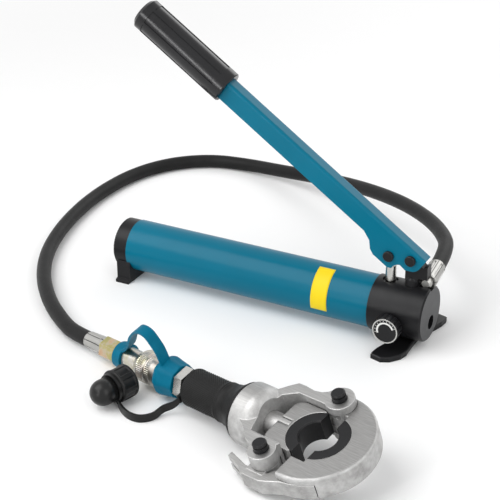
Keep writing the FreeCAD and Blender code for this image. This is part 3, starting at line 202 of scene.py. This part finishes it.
def forged_steel(name="forged_steel", flat=0.37, side=0.48, brushed=(60, 1100, 1100)):
    """Ground flats, mottled forged sides, painted highlights on the soft edges and painted shade in the
    seams.
    """
    s = Shader(name)
    grain = s.noise(1.0, 5, 0.65, s.place(brushed, HEAD))
    up = s.node("ShaderNodeVectorMath", {"operation": "DOT_PRODUCT"}, {
        0: s.node("ShaderNodeTexCoord", out=1), 1: tuple(HEAD.to_3x3() @ Vector((0, 0, 1)))}, out=1)
    top = s.range(s.math("ABSOLUTE", up), 0.0, 1.0, 0.72, 0.93)
    cloud = s.range(s.noise(75, 7, 0.7), 0, 1, 0.32, 0.7)
    sides = s.mix(cloud, shade_of(side, 0.70, 0.69, 0.68), shade_of(side, 1.22, 1.22, 1.21))
    flats = s.mix(s.range(grain, 0, 1, 0.25, 0.75), shade_of(flat, 0.80, 0.79, 0.78),
                  shade_of(flat, 1.22, 1.21, 1.19))
    edge = s.edges(FORGED_HIGHLIGHT)
    # Painted highlight: the edges are lightened towards pale silver.
    highlighted_metal = s.mix(s.math("MULTIPLY", edge, 0.8), s.mix(top, sides, flats), (0.80, 0.80, 0.79))
    matt = s.math("ADD", s.range(top, 0.64, 0.40), s.range(s.noise(160, 5), -0.07, 0.09))
    # Painted shade: seams and tight corners are darkened towards near black.
    s.set(Base_Color=s.mix(s.seam_shade(FORGED_SHADE_REACH), highlighted_metal, (0.035, 0.034, 0.032)), Metallic=1.0,
          Roughness=s.math("SUBTRACT", matt, s.math("MULTIPLY", edge, 0.12)))
    pits = s.bump(s.noise(380, 5), 0.00016, 0.5, s.soft_edges(FORGED_ROUND))
    return s.set(Normal=s.bump(grain, 0.00008, 0.5, pits)).material


def bright_steel(name="bright_steel", shade=0.60, rough=0.14, groove_count=0, turn=HEAD):
    """Turned steel with painted highlights on its edges and painted shade in its seams; a crimped shell has
    painted shade as dark lines along its crimp grooves.
    """
    s = Shader(name)
    edge = s.edges(TURNED_HIGHLIGHT_AND_WEAR)
    grain = s.noise(1.0, 4, 0.6, s.place((300, 1600, 1600), turn))
    colour = s.mix(grain, shade_of(shade, 0.82, 0.81, 0.77), shade_of(shade, 1.08, 1.07, 1.03))
    # Painted shade: dark lines where the recesses of the crimp grooves would be shaded.
    if groove_count:
        spot = s.place((1, 1, 1), turn)
        parts = s.tree.nodes.new("ShaderNodeSeparateXYZ")
        s.plug(parts.inputs[0], spot)
        angle = s.math("ARCTAN2", parts.outputs[2], parts.outputs[1])
        wave = s.math("ABSOLUTE", s.math("SINE", s.math("MULTIPLY", angle, groove_count / 2)))
        colour = s.mix(s.range(wave, 1.0, 0.0, 0.10, 0.30), colour, (0.05, 0.05, 0.05))
    # Painted highlight: the edges are lightened towards pale silver.
    highlighted_metal = s.mix(edge, colour, (0.82, 0.82, 0.81))
    # Painted shade: seams and tight corners are darkened towards near black.
    s.set(Base_Color=s.mix(s.seam_shade(TURNED_SHADE_REACH), highlighted_metal, (0.04, 0.04, 0.04)), Metallic=1.0,
          Roughness=s.range(s.noise(150, 5), rough, rough + 0.16))
    return s.set(Normal=s.bump(grain, 0.00003, 0.4)).material


def black_oxide():
    """Blackened steel, rubbed pale here and there along its edges."""
    s = Shader("black_oxide")
    edge = s.math("MULTIPLY", s.edges(TURNED_HIGHLIGHT_AND_WEAR), s.range(s.noise(300, 4), 0.35, 1, 0.3, 0.65))
    colour = s.mix(s.noise(70, 5), (0.006, 0.006, 0.007), (0.016, 0.016, 0.017))
    s.set(Base_Color=s.mix(edge, colour, (0.10, 0.097, 0.093)), Specular_IOR_Level=0.2,
          Roughness=s.range(s.noise(180, 5), 0.30, 0.46))
    turned = s.noise(1.0, 3, 0.5, s.place((900, 900, 120), HEAD))
    return s.set(Normal=s.bump(turned, 0.00004, 0.5)).material


def yellow_zinc(name="yellow_zinc", pale=0.0):
    """Passivated zinc: metal with drifting yellow, pink and green, painted highlights on its edges and
    painted shade in its seams.
    """
    s = Shader(name)
    drift = s.noise(62, 4, 0.6)
    ramp = s.ramp(drift, [
        (0.30, (0.52, 0.33, 0.21)), (0.40, (0.54, 0.38, 0.25)), (0.47, (0.48, 0.43, 0.31)),
        (0.54, (0.44, 0.38, 0.16)), (0.64, (0.36, 0.35, 0.15)), (0.74, (0.50, 0.44, 0.34))])
    silver = s.mix(s.noise(300, 5), (0.50, 0.49, 0.47), (0.68, 0.67, 0.65))
    patches = s.range(s.noise(120, 4), pale * 0.55, min(1.0, pale * 1.5), 0.35, 0.65)
    # Painted highlight: the edges are lightened towards pale metal.
    highlighted_metal = s.mix(s.edges(ZINC_HIGHLIGHT), s.mix(patches, ramp, silver), (0.80, 0.78, 0.72))
    # Painted shade: seams and tight corners are darkened towards dark brown.
    s.set(Base_Color=s.mix(s.seam_shade(TURNED_SHADE_REACH), highlighted_metal, (0.05, 0.045, 0.035)), Metallic=1.0,
          Roughness=s.range(s.noise(220, 5), 0.26, 0.42))
    turned = s.noise(1.0, 3, 0.5, s.place((250, 1500, 1500), HEAD))
    return s.set(Normal=s.bump(turned, 0.00004, 0.5)).material


def rubber(name, dark, rough, grain=900, depth=0.00008, shine=0.16):
    """Rubber or plastic with a fine grain and a little dust."""
    s = Shader(name)
    dust = s.range(s.noise(28, 6, 0.65), 0, 1, 0.48, 0.8)
    pale = tuple(min(1.0, part * 1.35 + 0.003) for part in dark)
    s.set(Base_Color=s.mix(dust, dark, pale), Roughness=s.range(s.noise(120, 5), rough - 0.05, rough + 0.07),
          Specular_IOR_Level=shine)
    return s.set(Normal=s.bump(s.noise(grain, 4), depth, 0.6)).material


def hose_rubber():
    """Cover with the fine criss-cross print of the wrapping tape."""
    s = Shader("hose_rubber")
    uv = s.node("ShaderNodeTexCoord", out=2)
    wrap = s.node("ShaderNodeVectorMath", {"operation": "MULTIPLY"}, {0: uv, 1: (700, 28, 1)})
    weave = s.node("ShaderNodeTexBrick", {"offset": 0.5}, {
        "Vector": wrap, "Scale": 1.0, "Mortar Size": 0.12, "Mortar Smooth": 1.0, "Color1": (1, 1, 1),
        "Color2": (0.8, 0.8, 0.8), "Mortar": (0, 0, 0)})
    dust = s.range(s.noise(30, 6), 0, 1, 0.4, 0.8)
    s.set(Base_Color=s.mix(dust, (0.010, 0.010, 0.010), (0.018, 0.018, 0.018)),
          Roughness=s.range(s.noise(140, 5), 0.40, 0.54), Specular_IOR_Level=0.14)
    fine = s.bump(s.noise(1100, 3), 0.00005, 0.5)
    return s.set(Normal=s.bump(weave, 0.00005, 0.4, fine)).material


def label_foil():
    """Yellow foil with a fine dotted grain."""
    s = Shader("label_foil")
    dots = s.node("ShaderNodeTexVoronoi", {}, {"Vector": s.place(), "Scale": 2600})
    colour = s.mix(s.range(dots, 0, 0.35), (0.83, 0.62, 0.012), (0.79, 0.57, 0.008))
    s.set(Base_Color=colour, Roughness=s.range(s.noise(90, 4), 0.36, 0.48), Specular_IOR_Level=0.2)
    return s.set(Normal=s.bump(s.noise(160, 3), 0.00005, 0.3)).material


def white_print():
    s = Shader("white_print")
    s.set(Base_Color=s.mix(s.noise(400, 4), (0.72, 0.72, 0.70), (0.86, 0.86, 0.84)), Roughness=0.45)
    return s.set(Normal=s.bump(s.noise(600, 3), 0.00004, 0.4)).material


MATERIALS = {
    "blue_paint": blue_paint(), "black_paint": black_paint(), "head_paint": black_paint("head_paint", 1.0),
    "forged_steel": forged_steel(), "jaw_steel": forged_steel("jaw_steel", 0.30, 0.47),
    "ram_steel": forged_steel("ram_steel", 0.42, 0.46, (900, 900, 60)),
    "bright_steel": bright_steel(), "crimped_steel": bright_steel("crimped_steel", 0.44, 0.28, 8),
    "pump_end_steel": bright_steel("pump_end_steel", 0.40, 0.30, 10, PUMP_END),
    "satin_steel": bright_steel("satin_steel", 0.38, 0.30), "black_oxide": black_oxide(),
    "yellow_zinc": yellow_zinc(), "pale_zinc": yellow_zinc("pale_zinc", 0.75), "hose_rubber": hose_rubber(),
    "grip_plastic": rubber("grip_plastic", (0.006, 0.006, 0.007), 0.17, 500, 0.00003, 0.36),
    "knurl_rubber": rubber("knurl_rubber", (0.010, 0.010, 0.010), 0.48),
    "cap_rubber": rubber("cap_rubber", (0.008, 0.008, 0.008), 0.30, 400, 0.00005, 0.25),
    "blue_rubber": rubber("blue_rubber", (0.0, 0.122, 0.205), 0.44, 420, 0.00008, 0.1),
    "knob_plastic": rubber("knob_plastic", (0.008, 0.008, 0.009), 0.30, 500, 0.00004, 0.25),
    "label_foil": label_foil(), "white_print": white_print(),
}

FINISHES = {
    "blue_paint": ["reservoir_tube", "handle_lever"],
    "black_paint": ["front_foot", "rear_foot", "rear_cap", "fulcrum_post", "plunger_gland"],
    "head_paint": ["pump_head"],
    "bright_steel": ["plunger", "knob_ring", "release_stem", "valve_ball", "nipple"],
    "satin_steel": ["outlet_fitting"], "pump_end_steel": ["ferrule_pump_end"],
    "crimped_steel": ["ferrule_head_end"],
    "forged_steel": ["cylinder_yoke", "latch_lever"], "jaw_steel": ["jaw", "die_block"],
    "ram_steel": ["ram"],
    "black_oxide": ["lower_die", "upper_die", "hinge_pin", "latch_pin", "relief_plug", "filler_plug",
                    "front_foot_screws", "rear_foot_screw", "block_pin", "fulcrum_pin", "plunger_pin",
                    "retaining_rings"],
    "yellow_zinc": ["hose_end_hex"], "pale_zinc": ["coupler_body", "coupler_sleeve"],
    "grip_plastic": ["handle_grip"], "knurl_rubber": ["grip_sleeve", "plunger_seal", "ram_seal"],
    "cap_rubber": ["black_dust_cap", "black_cap_strap", "oil_bladder"], "blue_rubber": ["blue_dust_cap"],
    "knob_plastic": ["release_knob"],
}
# Widths in metres of the edge breaks, and the least angle of an edge that gets one.
FORGED_EDGE, FINE_EDGE, LEAST_ANGLE = 0.0009, 0.0004, math.radians(38)
EDGE_BREAKS = {
    FORGED_EDGE: ["jaw", "cylinder_yoke", "latch_lever", "die_block", "handle_lever", "front_foot"],
    FINE_EDGE: ["lower_die", "upper_die", "nipple", "hose_end_hex", "rear_foot", "plunger", "fulcrum_post"],
}


def dress_nodes():
    """Give each CAD node its finish, and break the edges of the machined and forged ones."""
    for finish, names in FINISHES.items():
        for name in names:
            slots = NODES[name].material_slots
            for slot in slots:
                slot.material = MATERIALS[finish]
            if not slots:
                NODES[name].data.materials.append(MATERIALS[finish])
    for width, names in EDGE_BREAKS.items():
        for name in names:
            bevel = NODES[name].modifiers.new("edge_break", "BEVEL")
            bevel.width = width
            bevel.segments = 2
            bevel.limit_method = "ANGLE"
            bevel.angle_limit = LEAST_ANGLE


def mesh_object(name, mesh, finish, body):
    """Put a smooth mesh in the scene, riding on a body."""
    for face in mesh.polygons:
        face.use_smooth = True
    item = bpy.data.objects.new(name, mesh)
    bpy.context.scene.collection.objects.link(item)
    item.data.materials.append(MATERIALS[finish])
    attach(item, body)
    return item


def revolved(name, profile, sides, finish, body, place=HEAD, lift=None):
    """Turn a profile of (x, radius) in millimetres about X; lift(x, angle) adds to the radius."""
    vertices, faces = [], []
    for x, radius in profile:
        for side in range(sides):
            angle = 2 * math.pi * side / sides
            grown = radius + (lift(x, angle) if lift else 0.0)
            spot = Vector((x, grown * math.cos(angle), grown * math.sin(angle))) * MM
            vertices.append(place @ spot)
    rows = len(profile)
    for row in range(rows):
        for side in range(sides):
            after = (side + 1) % sides
            below = (row + 1) % rows
            faces.append((row * sides + side, row * sides + after,
                          below * sides + after, below * sides + side))
    mesh = bpy.data.meshes.new(name)
    mesh.from_pydata([tuple(v) for v in vertices], [], faces)
    mesh.update()
    fixed = bmesh.new()
    fixed.from_mesh(mesh)
    bmesh.ops.recalc_face_normals(fixed, faces=fixed.faces)
    fixed.to_mesh(mesh)
    fixed.free()
    return mesh_object(name, mesh, finish, body)


def make_hose():
    """The hose as a round cord along the source's route."""
    curve = bpy.data.curves.new("hose_cover", "CURVE")
    curve.dimensions = "3D"
    spline = curve.splines.new("NURBS")
    spline.points.add(len(HOSE_ROUTE) - 1)
    for point, spot in zip(spline.points, HOSE_ROUTE):
        point.co = (*(Vector(spot) * MM), 1.0)
    spline.order_u = 3
    spline.use_endpoint_u = True
    spline.resolution_u = 14
    curve.bevel_depth = HOSE_DIAMETER / 2
    curve.bevel_resolution = 10
    curve.use_fill_caps = True
    curve.materials.append(MATERIALS["hose_rubber"])
    hose = bpy.data.objects.new("hose_cover", curve)
    bpy.context.scene.collection.objects.link(hose)
    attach(hose, "pump")
    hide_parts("hose")


def thin_sheet(name, vertices, faces, finish, body, thickness):
    """A printed or foil layer with a thickness of its own, in millimetres."""
    mesh = bpy.data.meshes.new(name)
    mesh.from_pydata(vertices, [], faces)
    sheet = mesh_object(name, mesh, finish, body)
    thick = sheet.modifiers.new("thick", "SOLIDIFY")
    thick.thickness = thickness * MM
    thick.offset = 0


# Height of the reservoir's axis and its radius, in millimetres.
TUBE_AXIS, TUBE_RADIUS = 33.5, 26.75
# The label from end to end in millimetres and round the reservoir in degrees.
LABEL_X, LABEL_ARC = (-92.8, -75.4), (-22.7, 80.0)
LABEL_LIFT, LABEL_THICKNESS = 0.12, 0.2


def make_label():
    """Plain foil label bent round the reservoir on the operator's side."""
    rows, columns = 28, 8
    radius = TUBE_RADIUS + LABEL_LIFT
    vertices, faces = [], []
    for row in range(rows + 1):
        angle = math.radians(LABEL_ARC[0] + (LABEL_ARC[1] - LABEL_ARC[0]) * row / rows)
        for column in range(columns + 1):
            x = LABEL_X[0] + (LABEL_X[1] - LABEL_X[0]) * column / columns
            height = TUBE_AXIS + radius * math.sin(angle)
            vertices.append((x * MM, -radius * math.cos(angle) * MM, height * MM))
    for row in range(rows):
        for column in range(columns):
            first = row * (columns + 1) + column
            faces.append((first, first + 1, first + columns + 2, first + columns + 1))
    thin_sheet("label", vertices, faces, "label_foil", "pump", LABEL_THICKNESS)


def smooth_steps(points, step):
    """Points along a polyline of (x, radius), at most a step apart."""
    out = []
    for (x0, r0), (x1, r1) in zip(points, points[1:]):
        count = max(1, math.ceil(math.hypot(x1 - x0, r1 - r0) / step))
        out += [(x0 + (x1 - x0) * k / count, r0 + (r1 - r0) * k / count) for k in range(count)]
    return out + [points[-1]]


def make_head_grip():
    """Rubber grip with a diamond knurl, a waist with two beads, and a smooth bell."""
    start, end, run_out = -151.5, -112.0, 1.5
    grooves, pitch, depth = 46, 2.45, 0.55
    waist_at, waist_radius, flare_length, flare_rise, flare_steps = -106, 18.0, 21.0, 9.0, 14

    def knurl(x, angle):
        """Two crossing sets of grooves, fading out at both ends."""
        if not start < x < end:
            return 0.0
        fade = min(1.0, (x - start) / run_out, (end - x) / run_out)
        turn = grooves * angle / 2
        along = x * math.pi / pitch
        ridge = max(abs(math.sin(turn + along)), abs(math.sin(turn - along)))
        return -depth * fade * ridge ** 2

    def bell(share):
        """Point of the flare, from the waist (0) to the rim (1)."""
        return waist_at + flare_length * share, waist_radius + flare_rise * share ** 1.7

    outer = [(-152.7, 17.0), (-152.3, 17.8), (-151.5, 18.0), (-111.5, 18.0), (-111.0, 18.5), (-110.0, 18.7),
             (-109.0, 18.2), (-108.4, 18.2), (-107.6, 18.7), (-106.8, 18.4)]
    flare = [bell(step / flare_steps) for step in range(1, flare_steps + 1)]
    lip = [(-84.3, 27.0), (-83.2, 26.9), (-82.3, 26.3), (-82.3, 24.0)]
    inner = [(-82.3, 19.4), (-101.5, 19.4), (-107.0, 14.4), (-152.7, 14.4)]
    profile = smooth_steps(outer, step=0.32) + flare + lip + inner
    grip = revolved("knurled_grip", profile, 6 * grooves, "knurl_rubber", "head", lift=knurl)
    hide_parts("grip_sleeve")


def make_coupler_sleeve():
    """Ring that turns by hand: a cone, two knurled bands and a smooth rim."""
    bands = [(-216.6, -209.4), (-205.4, -199.6)]
    grooves, depth = 54, 0.5

    def knurl(x, angle):
        """Straight grooves on the two bands."""
        if any(low < x < high for low, high in bands):
            return -depth * abs(math.sin(grooves / 2 * angle)) ** 1.5
        return 0.0

    outer = [(-224.0, 11.4), (-219.2, 14.4), (-218.0, 15.1), (-217.2, 15.45), (-209.0, 15.45), (-208.4, 14.6),
             (-206.6, 14.6), (-206.0, 15.45), (-199.0, 15.5), (-189.0, 15.5), (-187.9, 15.0), (-187.5, 14.4)]
    profile = smooth_steps(outer, step=0.6) + [(-187.5, 12.1), (-215.5, 12.1), (-215.5, 10.5), (-224.0, 10.5)]
    sleeve = revolved("knurled_sleeve", profile, 6 * grooves, "pale_zinc", "sleeve", lift=knurl)
    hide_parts("coupler_sleeve")


def make_collar():
    """Soft lobes of the blue cap's collar."""
    lobes, height = 9, 0.35

    def lobe(_, angle):
        return height * math.cos(lobes * angle)

    outer = [(-190.9, 17.3), (-189.5, 18.1), (-187.5, 18.6), (-185.5, 18.7), (-183.0, 18.3), (-180.0, 17.7),
             (-177.0, 17.2), (-173.0, 16.6), (-169.5, 16.1), (-168.1, 15.6)]
    profile = smooth_steps(outer, step=1.2) + [(-168.1, 14.0), (-186.9, 14.0), (-187.2, 15.9), (-190.9, 15.9)]
    revolved("collar_lobes", profile, 16 * lobes, "blue_rubber", "pump", lift=lobe)


# Middle of the black cap's round end, and how far its axis is turned on the floor.
CAP_AT, CAP_TURN = Vector((-196.7, -241.1, 16.0)) * MM, math.radians(73.7)


def make_dust_cap():
    """Moulded black cap: round end, thin ridges at the waist, and a body with wide recessed panels."""
    place = Matrix.Translation(CAP_AT) @ Matrix.Rotation(CAP_TURN, 4, "Z")
    radius = 12.2
    start, end, run_out = 14.6, 27.6, 0.5
    panel_count, depth, rib_level, rib_slope = 7, 0.9, -0.62, 0.16

    def panels(x, angle):
        """Panels sunk between narrow ribs, which stand where the wave is lowest."""
        if not start < x < end:
            return 0.0
        fade = min(1.0, (x - start) / run_out, (end - x) / run_out)
        wave = math.cos(panel_count * angle)
        return -depth * fade * min(1.0, max(0.0, (wave - rib_level) / rib_slope))

    dome = [(-radius * math.cos(math.radians(a)), radius * math.sin(math.radians(a)))
            for a in [0.5] + list(range(6, 91, 6))]
    waist = [(7.9, radius), (7.9, 10.7), (12.5, 10.7), (12.5, 14.9),
             (13.0, 15.5), (13.6, 15.7), (14.4, 15.75)]
    body = smooth_steps([(14.6, 15.8), (27.8, 15.8), (28.2, 15.4),
                         (28.8, 15.4), (29.2, 15.7), (29.8, 15.5)], step=0.55)
    profile = dome + waist + body + [(30.0, 15.0), (30.0, 13.0), (15.0, 13.0), (15.0, 0.1)]
    cap = revolved("ribbed_cap", profile, 30 * panel_count, "cap_rubber", "head", place=place, lift=panels)
    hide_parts("black_dust_cap")


def make_knob_print():
    """White band and plain ticks on the knob's face, from closed to open."""
    face, middle, thickness = -42.03, (-6.6, 28.0), 0.1
    band_arc, band_radii, band_steps = (20, 205), (7.2, 9.0), 40
    ticks, first_tick, tick_step, tick_wide, tick_radii = 10, 24, 19, 3, (9.6, 11.0)
    vertices, faces = [], []

    def sector(first, last, radii, steps):
        """Part of a ring, from one angle in degrees to another."""
        start = len(vertices)
        for step in range(steps + 1):
            angle = math.radians(first + (last - first) * step / steps)
            for radius in radii:
                vertices.append(((middle[0] + radius * math.cos(angle)) * MM, face * MM,
                                 (middle[1] + radius * math.sin(angle)) * MM))
        for step in range(steps):
            at = start + 2 * step
            faces.append((at, at + 1, at + 3, at + 2))

    sector(*band_arc, band_radii, band_steps)
    for tick in range(ticks):
        angle = first_tick + tick_step * tick
        sector(angle, angle + tick_wide, tick_radii, steps=1)
    thin_sheet("knob_band", vertices, faces, "white_print", "release_valve", thickness)


# Camera fitted to the pump's outlines in the photograph.
CAMERA_AZIMUTH, CAMERA_ELEVATION, CAMERA_ROLL = math.radians(27.79), math.radians(26.64), math.radians(-0.24)
CAMERA_TARGET, CAMERA_DISTANCE = Vector((-0.17245, -0.002, 0.0585)), 1.42386
FOCAL_PIXELS, PHOTO_PIXELS = 1403.69, 500


def set_camera():
    """Look from the photograph's direction with its angle of view."""
    data = bpy.data.cameras.new("camera")
    data.sensor_width = 36.0
    data.sensor_fit = "HORIZONTAL"
    data.lens = FOCAL_PIXELS / PHOTO_PIXELS * data.sensor_width
    data.clip_end = 20
    camera = bpy.data.objects.new("camera", data)
    bpy.context.scene.collection.objects.link(camera)
    back = Vector((math.sin(CAMERA_AZIMUTH) * math.cos(CAMERA_ELEVATION),
                   -math.cos(CAMERA_AZIMUTH) * math.cos(CAMERA_ELEVATION), math.sin(CAMERA_ELEVATION)))
    right = Vector((math.cos(CAMERA_AZIMUTH), math.sin(CAMERA_AZIMUTH), 0))
    up = back.cross(right)
    turn = Matrix.Rotation(CAMERA_ROLL, 3, back)
    right, up = turn @ right, turn @ up
    basis = Matrix((right, up, back)).transposed().to_4x4()
    camera.matrix_world = Matrix.Translation(CAMERA_TARGET + back * CAMERA_DISTANCE) @ basis
    bpy.context.scene.camera = camera


# Lamps: name, place, point aimed at, width and height, and watts.
LAMPS = [
    ("key", (-0.9, -0.9, 1.5), (-0.1, -0.1, 0.05), (1.5, 1.5), 23),
    ("fill", (1.3, -0.9, 0.9), (0, -0.1, 0.05), (0.9, 1.4), 8),
    ("rim", (0.3, 1.4, 0.9), (-0.1, 0, 0.05), (1.8, 0.8), 8),
    ("strip", (-0.45, -1.6, 0.45), (-0.3, 0, 0.25), (0.16, 1.2), 6),
]
# Strengths of the even light and of the white that the camera and reflections see.
SOFT_LIGHT, WHITE_ROOM = 0.50, 1.0
# Half the floor's side, and the distances from the origin between which it fades to white, in metres.
FLOOR_HALF, FLOOR_FADE = 6, (0.75, 1.5)


def add_light(name, spot, aim, size, power):
    """Rectangular lamp at a spot, turned towards aim."""
    data = bpy.data.lights.new(name, "AREA")
    data.shape = "RECTANGLE"
    data.size, data.size_y = size
    data.energy = power
    light = bpy.data.objects.new(name, data)
    light.location = spot
    light.rotation_euler = (Vector(aim) - Vector(spot)).to_track_quat("-Z", "Y").to_euler()
    bpy.context.scene.collection.objects.link(light)


def seen_rays(tree):
    """1 for the rays that show the background: straight, in reflections and through glass."""
    path = tree.nodes.new("ShaderNodeLightPath")
    seen = path.outputs["Is Camera Ray"]
    for name in ("Is Glossy Ray", "Is Transmission Ray"):
        either = tree.nodes.new("ShaderNodeMath")
        either.operation = "MAXIMUM"
        tree.links.new(seen, either.inputs[0])
        tree.links.new(path.outputs[name], either.inputs[1])
        seen = either.outputs[0]
    return seen


def set_world():
    """Soft even light, and a white room behind and in reflections."""
    world = bpy.data.worlds.new("studio")
    world.use_nodes = True
    tree = world.node_tree
    soft = tree.nodes["Background"]
    soft.inputs[0].default_value = (1.0, 1.0, 1.0, 1.0)
    soft.inputs[1].default_value = SOFT_LIGHT
    white = tree.nodes.new("ShaderNodeBackground")
    white.inputs[0].default_value = (1.0, 1.0, 1.0, 1.0)
    white.inputs[1].default_value = WHITE_ROOM
    mixed = tree.nodes.new("ShaderNodeMixShader")
    tree.links.new(seen_rays(tree), mixed.inputs[0])
    tree.links.new(soft.outputs[0], mixed.inputs[1])
    tree.links.new(white.outputs[0], mixed.inputs[2])
    tree.links.new(mixed.outputs[0], tree.nodes["World Output"].inputs[0])
    bpy.context.scene.world = world


def set_stage():
    """Pale floor that keeps the shadows near the object and fades to white beyond, and the lamps."""
    corners = [(-1, -1), (1, -1), (1, 1), (-1, 1)]
    mesh = bpy.data.meshes.new("floor")
    mesh.from_pydata([(FLOOR_HALF * x, FLOOR_HALF * y, 0) for x, y in corners], [], [(0, 1, 2, 3)])
    floor = bpy.data.objects.new("floor", mesh)
    bpy.context.scene.collection.objects.link(floor)
    s = Shader("floor_paper")
    s.set(Base_Color=s.mix(s.noise(30, 4), (0.945, 0.945, 0.945), (0.96, 0.96, 0.96)), Roughness=0.8,
          Specular_IOR_Level=0.1)
    away = s.node("ShaderNodeVectorMath", {"operation": "LENGTH"}, {0: s.place()}, out=1)
    far = s.math("MULTIPLY", s.range(away, 0, 1, *FLOOR_FADE), seen_rays(s.tree))
    room = s.node("ShaderNodeEmission", {}, {"Color": (1.0, 1.0, 1.0)})
    s.plug(s.tree.nodes["Material Output"].inputs[0],
           s.node("ShaderNodeMixShader", {}, {0: far, 1: s.surface.outputs[0], 2: room}))
    floor.data.materials.append(s.material)
    set_world()
    for lamp in LAMPS:
        add_light(*lamp)
    bpy.context.scene.view_settings.view_transform = "Standard"


dress_nodes()
make_hose()
make_label()
make_head_grip()
make_coupler_sleeve()
make_collar()
make_dust_cap()
make_knob_print()
set_camera()
set_stage()
